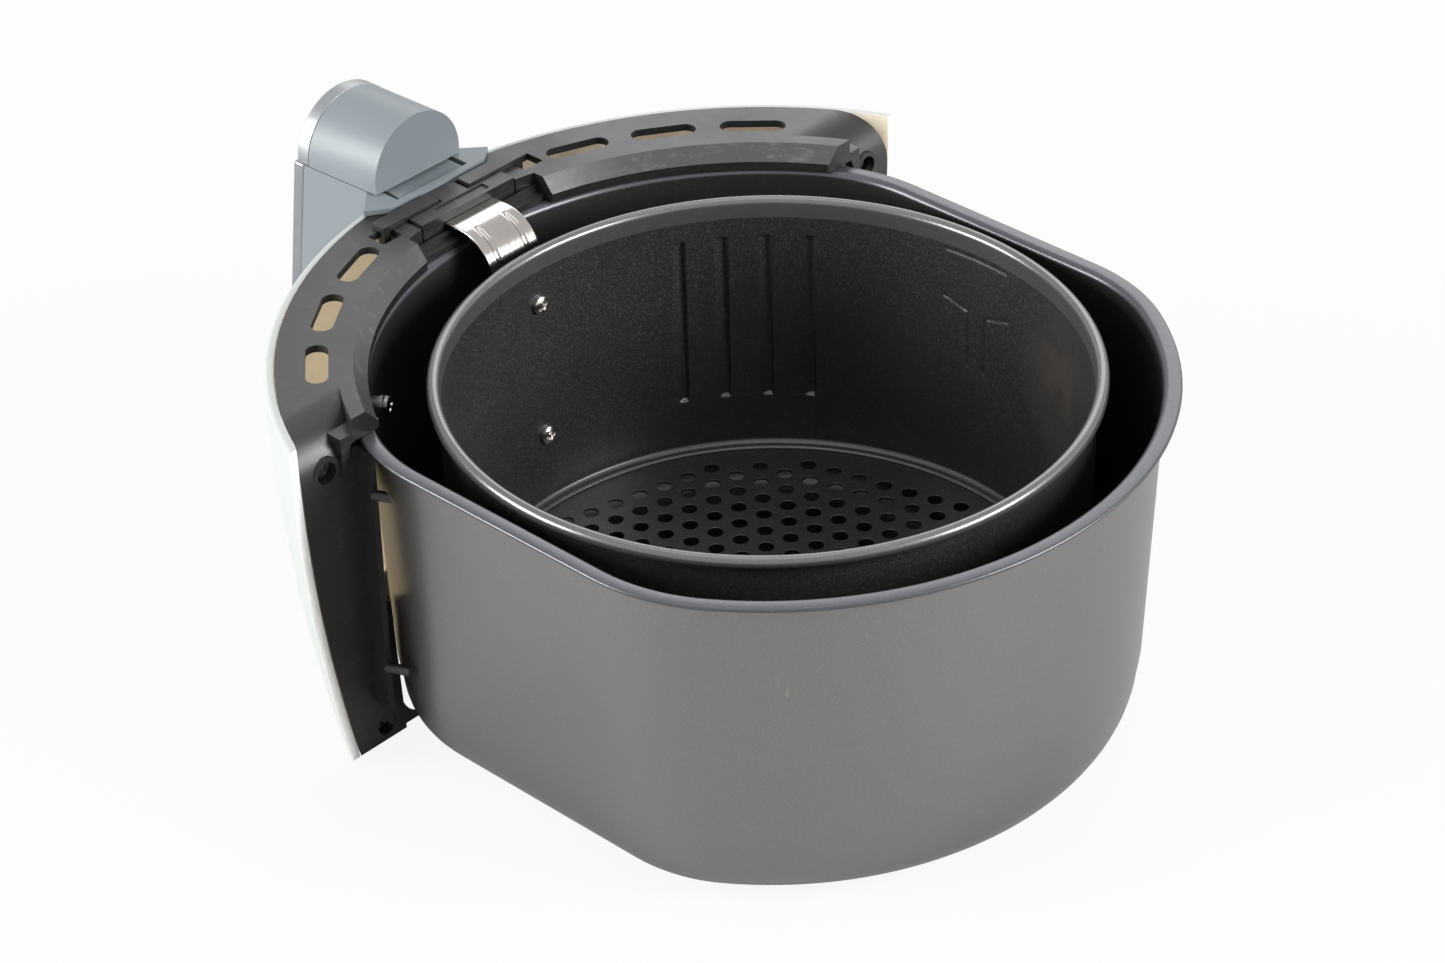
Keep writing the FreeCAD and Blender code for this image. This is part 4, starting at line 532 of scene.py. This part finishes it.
def makePan():
    samples = {"blend": 22, "arc": 60, "flat": 16}
    lean = math.tan(math.radians(pan["draft"]))
    outer, corner, wall, top = pan["flange"] - pan["wall"], pan["corner"], pan["wall"], pan["height"]
    low, innerLow, inner = outer + top * lean, pan["flange"] + (top - wall) * lean, corner - wall
    edge, rounded, tuck = pan["edge"] / 2, pan["round"], 0.9
    outside = [(inset + low, 0.0) for inset in (95, 75, 55, 35)]              # inset and height, from the middle below
    outside += [tuple(pair) for pair in arcPoints((low + corner, corner), -corner, 90, 2.44, 12)]
    outside += [(outer + (top - height) * lean, height) for height in np.linspace(22, 108, 16)]
    rim = [(outer + 0.12, top - pan["edge"] - tuck)]
    rim += [tuple(pair) for pair in arcPoints((outer - tuck, top - pan["edge"] - tuck), tuck, 0, 90, 5)]
    rim += [tuple(pair) for pair in arcPoints((edge, top - edge), -edge, 90, -90, 9)]
    rim += [tuple(pair) for pair in arcPoints((pan["flange"] - rounded, top - rounded), rounded, 90, 2.44, 8)]
    inside = [(pan["flange"] + (top - height) * lean, height) for height in np.linspace(104, 22, 14)]
    inside += [tuple(pair) for pair in arcPoints((innerLow + inner, wall + inner), -inner, 2.44, 90, 10)]
    inside += [(inset + innerLow, wall) for inset in (35, 55, 75, 95)]
    profile = outside + rim + inside

    limit = pan["blend"] - 2.0                              # past the blends the rings shrink towards the middle
    rings = np.array([panRing(min(inset, limit), height, samples) for inset, height in profile])
    share = np.array([min(1.0, (pan["flat"] - inset) / (pan["flat"] - limit)) for inset, height in profile])
    rings[:, :, 0] *= share[:, None]
    rings[:, :, 1] = (rings[:, :, 1] + 1.5) * share[:, None] - 1.5
    rows, count = rings.shape[:2]
    points = np.vstack([rings.reshape(-1, 3), [[0, -1.5, 0.0], [0, -1.5, wall]]])
    walls = gridFaces(rows, count)
    around = np.arange(count)
    caps = np.vstack([fanFaces(len(points) - 2, around), fanFaces(len(points) - 1, around + (rows - 1) * count)])
    piece = meshPiece("panCoated", points, walls.tolist() + caps.tolist(), finishes["panOutside"])
    piece.data.materials.append(finishes["panInside"])
    piece.data.materials.append(finishes["rimCoat"])
    rowOf = np.repeat(np.arange(rows - 1), count)
    wallSlots = np.where(rowOf >= len(outside) + len(rim) - 2, 1, np.where(rowOf >= len(outside) + 5, 2, 0))
    slots = np.concatenate([wallSlots, np.repeat([0, 1], count)]).astype(np.int32)
    piece.data.polygons.foreach_set("material_index", slots)
    settle(piece, "pan_unit", "pan_coating", "pan")


web = {"rear": 64.2, "front": 66.2, "low": 3.0, "top": 50.0, "wide": 9.0, "gap": 0.3}


def makeWebs():
    # the frame's webs beside the pan: an upright strip whose inner edge keeps a small gap to the pan's leaning wall
    samples = {"blend": 60, "arc": 120, "flat": 16}
    lean = math.tan(math.radians(pan["draft"]))
    heights = np.linspace(web["low"], web["top"], 24)
    inner = []
    for height in heights:
        inset = pan["flange"] - pan["wall"] + (pan["height"] - height) * lean
        if height < pan["corner"]:                          # the pan's wall turns in at its corner
            inset += pan["corner"] - math.sqrt(pan["corner"] ** 2 - (pan["corner"] - height) ** 2)
        ring = panRing(inset, height, samples)
        near = ring[(np.abs(ring[:, 1] + web["rear"]) < 3.0) & (ring[:, 0] > 0)]
        inner.append(near[:, 0].max() + web["gap"])
    inner = np.array(inner)
    for way, name in ((1, "webLeft"), (-1, "webRight")):
        outer = inner + web["wide"]
        edge = [(inner, web["rear"]), (outer, web["rear"]), (outer, web["front"]), (inner, web["front"])]
        grid = np.stack([np.stack([way * across, np.full_like(across, -forward), heights], axis=-1)
                         for across, forward in edge], axis=1)
        caps = [[0, 1, 2, 3], [len(heights) * 4 - 4 + corner for corner in range(4)]]
        piece = meshPiece(name, grid, gridFaces(len(heights), 4).tolist() + caps, finishes["frameBlack"], smooth=False)
        settle(piece, "pan_unit", "black_plastic")


makePan()
makeWebs()
print("pan ready")


# Basket

basket = {
    "rim": 113.6, "radius": 100.0, "depth": 89.7, "wall": 0.8, "taper": 1.3, "corner": 2.0, "bead": 1.9, "drop": 1.1,
    "holePitch": 9.0, "holeWide": 5.3, "rowTurn": 45.0, "field": 88.5, "panel": 91.0, "panelDrop": 0.6,
    "flutes": (30.5, 38.7, 46.9, 55.1), "fluteTop": 100.1, "fluteLow": 42.1, "fluteHalf": 2.0, "fluteDeep": 1.2,
    "markWide": 0.75, "markDeep": 0.35,
}


def wallRadius(height):
    return basket["radius"] - 2 * basket["bead"] - basket["taper"] * (basket["rim"] - height) / basket["depth"]


def fluteDepth(along, height, centre):
    # 1 inside an upright bar, 0 outside: a long soft side towards the handle, a short one away from it; mm of arc
    across = centre - along
    sides = smoothStep(across, -basket["fluteHalf"] * 1.3, basket["fluteHalf"] * 0.5)
    sides *= 1 - smoothStep(across, basket["fluteHalf"] * 0.7, basket["fluteHalf"] * 1.1)
    ends = smoothStep(height, basket["fluteLow"] - 0.7, basket["fluteLow"] + 0.5)
    ends *= 1 - smoothStep(height, basket["fluteTop"] - 0.5, basket["fluteTop"] + 0.7)
    return sides * ends


def strokeDepth(along, height, start, stop, half):
    # 1 on a straight stroke between two points of the unrolled wall, falling to 0 beside it
    direction = np.subtract(stop, start)
    length = np.hypot(*direction)
    unit = direction / length
    offset = np.stack([along - start[0], height - start[1]])
    travel = np.clip(offset[0] * unit[0] + offset[1] * unit[1], 0, length)
    distance = np.hypot(offset[0] - travel * unit[0], offset[1] - travel * unit[1])
    return 1 - smoothStep(distance, half * 0.3, half)


def makeBasket():
    rim, floor = basket["rim"], basket["rim"] - basket["depth"]
    bead, sheet, corner = basket["bead"], basket["wall"], basket["corner"]
    dense = [np.linspace(0, 360, 181)[:-1]]
    for angle in basket["flutes"]:
        dense.append(360 - angle + np.linspace(-2.0, 1.6, 19))           # the flutes lie towards -X
    dense.append(270 + np.linspace(-9, 9, 67))                           # the level lines round -X
    angles = np.unique(np.round(np.concatenate(dense) % 360, 3))
    radian = np.radians(angles)                                          # from the handle's side, towards +X
    side, forward = np.sin(radian), -np.cos(radian)

    heights = np.unique(np.round(np.concatenate([
        np.linspace(floor + corner, rim - 2.4, 34), np.linspace(64, 107, 78),
        np.linspace(basket["fluteLow"] - 1.2, basket["fluteLow"] + 1.2, 9),
        np.linspace(basket["fluteTop"] - 1.2, basket["fluteTop"] + 1.2, 9)]), 3))
    h, a = np.meshgrid(heights, angles, indexing="ij")
    mean = 95.2
    depth = np.zeros_like(h)
    for angle in basket["flutes"]:
        depth += basket["fluteDeep"] * fluteDepth(np.radians(a) * mean, h, math.radians(360 - angle) * mean)
    along = np.radians(270 - a) * mean                                   # mm of arc, positive towards the handle's side
    strokes = [((-12.2, 105.4), (11.7, 105.4))]
    for way in (1, -1):
        strokes += [((12.9 * way, 88.6), (3.3 * way, 85.6)), ((3.3 * way, 85.6), (3.3 * way, 66.0))]
    for start, stop in strokes:
        depth = np.maximum(depth, basket["markDeep"] * strokeDepth(along, h, start, stop, basket["markWide"]))
    inner = wallRadius(h) + depth

    def rows(pairs):
        return [(np.full_like(radian, radius), np.full_like(radian, height)) for radius, height in pairs]

    low = wallRadius(floor)
    insideCorner = arcPoints((low - corner, floor + corner), corner, -90, -3, 9)
    centre = (basket["radius"] - bead, rim - bead)
    edge = centre[1] - basket["drop"]
    profile = rows([(basket["panel"], floor), *insideCorner])
    profile += [(inner[i], h[i]) for i in range(len(heights))]
    profile += rows(arcPoints(centre, bead, 172, 0, 14))
    profile += rows([(basket["radius"], edge), (basket["radius"] - sheet, edge)])
    profile += rows(arcPoints(centre, bead - sheet, 0, 172, 8))
    picked = [i for i in range(len(heights) - 1, -1, -2) if heights[i] < rim - 5]
    profile += [(inner[i] + sheet, h[i]) for i in picked]
    profile += rows(arcPoints((low - corner, floor + corner), corner + sheet, -3, -90, 8))
    profile += rows([(basket["panel"], floor - sheet)])
    grid = np.array([np.stack([radius * side, radius * forward, height], axis=-1) for radius, height in profile])
    faces = gridFaces(len(profile), len(angles), closeRows=True)
    piece = meshPiece("basketWall", grid, faces.tolist(), finishes["basketCoat"])
    # the bead's rows take the lighter coat that partly paints its highlight
    piece.data.materials.append(finishes["beadWornSheen"])
    row = np.repeat(np.arange(len(profile)), len(angles))
    beadStart = 1 + len(insideCorner) + len(heights)
    rowsBefore, rowsAfter = 3, 15            # rows about the bead's first one that carry its finish
    onBead = (row >= beadStart - rowsBefore) & (row < beadStart + rowsAfter)
    piece.data.polygons.foreach_set("material_index", onBead.astype(np.int32))
    settle(piece, "basket_unit", "basket_coating", "basket")


def makeFloorPlate():
    # a thin round plate with rows of holes, filled between its circles as a flat curve
    floor = basket["rim"] - basket["depth"]
    outline = bpy.data.curves.new("basketFloor", "CURVE")
    outline.dimensions = "2D"
    outline.fill_mode = "BOTH"
    outline.extrude = basket["wall"] / 2 * mm - 0.00015
    outline.bevel_depth = 0.00015
    outline.bevel_resolution = 1

    def addCircle(x, y, radius, count):
        spline = outline.splines.new("POLY")
        spline.points.add(count - 1)
        turn = np.linspace(0, 2 * math.pi, count, endpoint=False)
        place = np.stack([x + radius * np.cos(turn), y + radius * np.sin(turn),
                          np.zeros(count), np.ones(count)], axis=-1)
        place[:, :3] *= mm
        spline.points.foreach_set("co", place.ravel())
        spline.use_cyclic_u = True

    addCircle(0, 0, basket["panel"] + 0.4, 180)
    pitch, rowStep = basket["holePitch"], basket["holePitch"] * math.sqrt(3) / 2
    limit = basket["field"] - basket["holeWide"] / 2
    aimX, aimY = math.cos(math.radians(basket["rowTurn"])), math.sin(math.radians(basket["rowTurn"]))
    for line in range(-12, 13):
        shift = pitch / 2 if line % 2 else 0.0
        for step in range(-12, 13):
            across, along = line * rowStep, step * pitch + shift
            x, y = along * aimX - across * aimY, along * aimY + across * aimX
            if math.hypot(x, y) < limit:
                addCircle(x, y, basket["holeWide"] / 2, 20)
    shape = bpy.data.objects.new("basketFloor", outline)
    bpy.context.collection.objects.link(shape)
    shape.location.z = (floor - basket["panelDrop"] - basket["wall"] / 2) * mm
    bpy.context.view_layer.update()
    mesh = bpy.data.meshes.new_from_object(shape)
    mesh.transform(shape.matrix_world)
    bpy.data.objects.remove(shape)
    piece = bpy.data.objects.new("basketFloor", mesh)
    bpy.context.collection.objects.link(piece)
    mesh.materials.clear()
    mesh.materials.append(finishes["basketCoat"])
    mesh.shade_smooth()
    mesh.set_sharp_from_angle(angle=math.radians(40))
    settle(piece, "basket_unit", "basket_coating", "basket")


makeBasket()
makeFloorPlate()
print("basket ready")


# Bracket between basket and handle

bracket = {
    "half": 10.5, "thick": 1.2, "top": 118.0, "bend": 14.0, "bendStart": -118.5, "end": -130.6, "seat": -97.15,
    "low": 40.0, "kneeHigh": 103.0, "kneeLow": 99.4, "edge": 0.35, "soften": 1.6,
    "grooveAt": 6.0, "grooveHalf": 1.1, "grooveDeep": 0.55,
}


def bracketPath(step=0.35):
    # the strip's upper face from the side, as evenly spaced points with softened bends, and its outward normals
    bend, top = bracket["bend"], bracket["top"]
    corners = [(bracket["end"], top), (bracket["bendStart"], top)]
    corners += [tuple(pair) for pair in arcPoints((bracket["bendStart"], top - bend), bend, 90, 0, 24)]
    corners += [(bracket["bendStart"] + bend, bracket["kneeHigh"]),
                (bracket["seat"], bracket["kneeLow"]), (bracket["seat"], bracket["low"])]
    corners = np.array(corners)
    travel = np.concatenate([[0], np.cumsum(np.hypot(*np.diff(corners, axis=0).T))])
    keep = np.concatenate([[True], np.diff(travel) > 1e-6])
    run = np.arange(0, travel[-1], step)
    line = np.stack([np.interp(run, travel[keep], corners[keep, axis]) for axis in (0, 1)], axis=-1)
    reach = int(bracket["soften"] / step)
    padded = np.pad(line, ((reach, reach), (0, 0)), mode="reflect", reflect_type="odd")
    window = np.hanning(2 * reach + 3)[1:-1]
    line = np.stack([np.convolve(padded[:, axis], window / window.sum(), mode="valid") for axis in (0, 1)], axis=-1)
    tangent = np.gradient(line, axis=0)
    tangent /= np.linalg.norm(tangent, axis=1)[:, None]
    return line, np.stack([-tangent[:, 1], tangent[:, 0]], axis=-1), run


def makeBracket():
    line, normal, run = bracketPath()
    half, thick, edge = bracket["half"], bracket["thick"], bracket["edge"]
    upper = np.linspace(-half + edge, half - edge, 61)
    turnRight = arcPoints((half - edge, -edge), edge, 90, 0, 4)[1:]
    turnLeft = arcPoints((edge - half, -edge), edge, 180, 90, 4)[:-1]
    section = [(x, 0.0) for x in upper] + turnRight.tolist()
    section += [(half, -thick + edge), (half - edge, -thick)]
    section += [(x, -thick) for x in upper[::-1][1:-1]] + [(edge - half, -thick), (-half, -thick + edge)]
    section += turnLeft.tolist()
    across, depth = np.array(section).T
    bendRun = bracket["bendStart"] - bracket["end"]
    span = smoothStep(run, bendRun + 2.0, bendRun + 4.0) * (1 - smoothStep(run, bendRun + 19.5, bendRun + 23.0))
    grooveHalf = bracket["grooveHalf"]
    pressed = 1 - smoothStep(np.abs(np.abs(across) - bracket["grooveAt"]), grooveHalf * 0.2, grooveHalf)
    lowered = depth[None, :] - bracket["grooveDeep"] * span[:, None] * pressed[None, :]
    x = np.broadcast_to(across, lowered.shape)
    y = line[:, None, 0] + lowered * normal[:, None, 0]
    z = line[:, None, 1] + lowered * normal[:, None, 1]
    grid = np.stack([x, y, z], axis=-1)
    rows, count = grid.shape[:2]
    points = np.vstack([grid.reshape(-1, 3), grid[0].mean(axis=0), grid[-1].mean(axis=0)])
    around = np.arange(count)
    caps = np.vstack([fanFaces(rows * count, around), fanFaces(rows * count + 1, around + (rows - 1) * count)])
    piece = meshPiece("bracketStrip", points, gridFaces(rows, count).tolist() + caps.tolist(), finishes["chromePlate"])
    piece.data.set_sharp_from_angle(angle=math.radians(50))
    settle(piece, "basket_unit", "chrome_strip", "basket_bracket")


makeBracket()
print("bracket ready")


# Screws with crossed recesses

screwKinds = {
    "tap": {"shank": 1.6, "length": 10.0, "head": 3.1, "high": 2.0},
    "bolt": {"shank": 1.5, "length": 6.2, "head": 2.9, "high": 2.0},
    "long": {"shank": 1.6, "length": 13.5, "head": 3.1, "high": 2.0},
}
recess = {"arm": 0.17, "reach": 0.62, "deep": 0.55}          # shares of the head's radius and height


def screwPoints(kind):
    # a square grid drawn out to a disc for the domed head, then rings down its rim, seat and shank
    count = 37
    u, v = np.meshgrid(np.linspace(-1, 1, count), np.linspace(-1, 1, count), indexing="ij")
    x, y = u * np.sqrt(1 - v * v / 2), v * np.sqrt(1 - u * u / 2)
    radius = np.hypot(x, y)
    crown = kind["high"] * 0.45
    height = kind["high"] - crown * radius ** 2.6
    arm, reach = recess["arm"], recess["reach"]
    alongX = (1 - smoothStep(np.abs(y), arm * 0.6, arm * 1.2)) * (1 - smoothStep(np.abs(x), reach * 0.8, reach * 1.05))
    alongY = (1 - smoothStep(np.abs(x), arm * 0.6, arm * 1.2)) * (1 - smoothStep(np.abs(y), reach * 0.8, reach * 1.05))
    height -= recess["deep"] * kind["high"] * np.maximum(alongX, alongY) * (1 - 0.5 * radius)
    head = np.stack([x * kind["head"], y * kind["head"], height], axis=-1).reshape(-1, 3)
    index = np.arange(count * count).reshape(count, count)
    border = np.concatenate([index[:-1, 0], index[-1, :-1], index[1:, -1][::-1], index[0, 1:][::-1]])
    turn = np.arctan2(head[border, 1], head[border, 0])
    rings = [(kind["head"], 0.0), (kind["shank"], 0.0), (kind["shank"], -kind["length"] + kind["shank"] * 0.6),
             (kind["shank"] * 0.4, -kind["length"])]
    lower = np.concatenate([np.stack([r * np.cos(turn), r * np.sin(turn), np.full_like(turn, z)], axis=-1)
                            for r, z in rings])
    points = np.vstack([head, lower, [[0, 0, -kind["length"]]]])
    faces = gridFaces(count, count, closeColumns=False).tolist()
    size, previous = len(border), border
    for ring in range(len(rings)):
        current = count * count + ring * size + np.arange(size)
        faces += np.stack([previous, np.roll(previous, -1), np.roll(current, -1), current], axis=-1).tolist()
        previous = current
    faces += fanFaces(len(points) - 1, previous).tolist()
    return points, faces


def makeScrews(name, kind, finish, body, slot, node, seats):
    # seats: the head's underside, the direction of the shank, and a turn of the cross in degrees
    points, faces = screwPoints(screwKinds[kind])
    allPoints, allFaces = [], []
    for start, direction, spin in seats:
        out = -np.array(direction, float) / np.linalg.norm(direction)
        side = np.cross((0, 0, 1.0) if abs(out[2]) < 0.9 else (0, 1.0, 0), out)
        side /= np.linalg.norm(side)
        turned = math.cos(math.radians(spin)) * side + math.sin(math.radians(spin)) * np.cross(out, side)
        axes = np.stack([turned, np.cross(out, turned), out])
        allFaces += [[corner + len(allPoints) * len(points) for corner in face] for face in faces]
        allPoints.append(points @ axes + np.array(start))
    piece = meshPiece(name, np.vstack(allPoints), allFaces, finishes[finish])
    piece.data.set_sharp_from_angle(angle=math.radians(35))
    settle(piece, body, slot, node)


# the screws through the pan's wall: degrees from the handle, seat, and how far the recess is turned
panScrew = {"angle": 34.1, "radius": 113.14, "height": 88.3, "turn": 20}
panSeats = []
for way in (1, -1):
    out = (math.sin(math.radians(way * panScrew["angle"])), -math.cos(math.radians(panScrew["angle"])), 0)
    seat = (panScrew["radius"] * out[0], panScrew["radius"] * out[1] - pan["front"], panScrew["height"])
    panSeats.append((seat, out, panScrew["turn"] * way))
makeScrews("panScrews", "tap", "screwBright", "pan_unit", "dark_screw", "pan_screws", panSeats)
makeScrews("coverScrews", "tap", "screwDark", "pan_unit", "dark_screw", "cover_screws",
           [((way * across, -68.4, height), (0, -1, 0), turn)
            for across, height, turn in ((116.03, 105.7, 15), (102.0, 7.2, 50)) for way in (1, -1)])
makeScrews("bracketScrews", "bolt", "screwBright", "basket_unit", "bright_screw", "bracket_screws",
           [((0, -wallRadius(height) + 0.12, height), (0, -1, 0), turn) for height, turn in ((95.4, 30), (47.9, 12))])
makeScrews("housingScrews", "long", "screwDark", "basket_unit", "dark_screw", "housing_screws",
           [((way * 5.5, -127.9, 106.0), (0, 0, 1), 10) for way in (1, -1)])
print("screws ready")


# Plastic pieces: copies of the parts with their edges rounded

# the axis that cover and frame share, and which faces count as inner side, rear edge and ledge
facing = {"axisForward": 6.4, "inner": -0.55, "rearEdge": 0.8,
          "ledgeInner": -0.2, "ledgeUp": 0.25, "ledgeRadius": 119.0, "ledgeLow": 108.0}


def outwardShare(centres, normals):
    # how far a face looks away from the axis that cover and frame share, and its distance from that axis
    away = centres[:, :2] + np.array([0, facing["axisForward"]])
    reach = np.linalg.norm(away, axis=1)
    return np.sum(away / reach[:, None] * normals[:, :2], axis=1), reach


def coverFaces(centres, normals):
    # 1 for the cover's inner side, 2 for its edges beside the wings, which take a lighter copy of the cover's colour as
    # painted light
    share = outwardShare(centres, normals)[0]
    inner = share < facing["inner"]
    return np.where(inner, 1, 0) + np.where(~inner & (normals[:, 1] > facing["rearEdge"]), 2, 0)


def ledgeFaces(centres, normals):
    # the sloping inner band of the frame's top, given a lighter rubbed finish: partly real wear, partly painted sheen
    share, reach = outwardShare(centres, normals)
    inward = (share < facing["ledgeInner"]) & (normals[:, 2] > facing["ledgeUp"])
    return inward & (reach < facing["ledgeRadius"]) & (centres[:, 2] > facing["ledgeLow"])


plainPieces = [
    {"node": "front_cover", "name": "coverShell", "finish": "coverPearl",
     "body": "pan_unit", "slot": "pearl_cover", "width": 1.1, "segments": 4,
     "others": ("coverTan", "coverEdgePaintedLight"), "choose": coverFaces},
    {"node": "front_frame", "name": "frameMoulding", "finish": "frameBlack",
     "body": "pan_unit", "slot": "black_plastic", "width": 0.45,
     "others": ("frameRubbedSheen",), "choose": ledgeFaces},
    {"node": "bracket_nuts", "name": "bracketNuts", "finish": "screwBright",
     "body": "basket_unit", "slot": "bright_screw", "width": 0.15},
    {"node": "latch_housing", "name": "latchHousing", "finish": "frameBlack",
     "body": "basket_unit", "slot": "black_plastic", "width": 0.3},
    {"node": "handle_shell", "name": "gripShell", "finish": "handleGrey",
     "body": "basket_unit", "slot": "handle_plastic", "width": 0.6},
    {"node": "handle_back", "name": "gripBack", "finish": "handleGrey",
     "body": "basket_unit", "slot": "handle_plastic", "width": 0.3},
    {"node": "handle_screws", "name": "handleScrews", "finish": "screwDark",
     "body": "basket_unit", "slot": "dark_screw", "width": 0.0},
    {"node": "handle_trim", "name": "gripTrim", "finish": "trimSilver",
     "body": "basket_unit", "slot": "silver_trim", "width": 0.9},
    {"node": "button_guard", "name": "guardCap", "finish": "handleGrey",
     "body": "guard", "slot": "handle_plastic", "width": 0.9},
    {"node": "guard_trim", "name": "guardTrim", "finish": "trimSilver",
     "body": "guard", "slot": "silver_trim", "width": 0.9},
    {"node": "release_button", "name": "releaseButton", "finish": "handleGrey",
     "body": "button", "slot": "handle_plastic", "width": 0.35},
    {"node": "left_latch", "name": "leftLatch", "finish": "frameBlack",
     "body": "left_arm", "slot": "black_plastic", "width": 0.3},
    {"node": "right_latch", "name": "rightLatch", "finish": "frameBlack",
     "body": "right_arm", "slot": "black_plastic", "width": 0.3},
]

for plain in plainPieces:
    others = [finishes[name] for name in plain.get("others", ())]
    copied = finishedCopy(plain["node"], plain["name"], finishes[plain["finish"]], plain["width"],
                          segments=plain.get("segments", 2), others=others, choose=plain.get("choose"))
    settle(copied, plain["body"], plain["slot"], plain["node"])


def makeSpring():
    # a copy of the coil, given a mesh of its own
    piece = finishedCopy("button_spring", "buttonSpring", finishes["springSteel"], 0.0)
    settle(piece, "basket_unit", "spring_wire", "button_spring")
    places = np.empty(len(piece.data.vertices) * 3)
    piece.data.vertices.foreach_get("co", places)
    places = places.reshape(-1, 3)
    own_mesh(piece)


makeSpring()
print("plastic pieces ready")


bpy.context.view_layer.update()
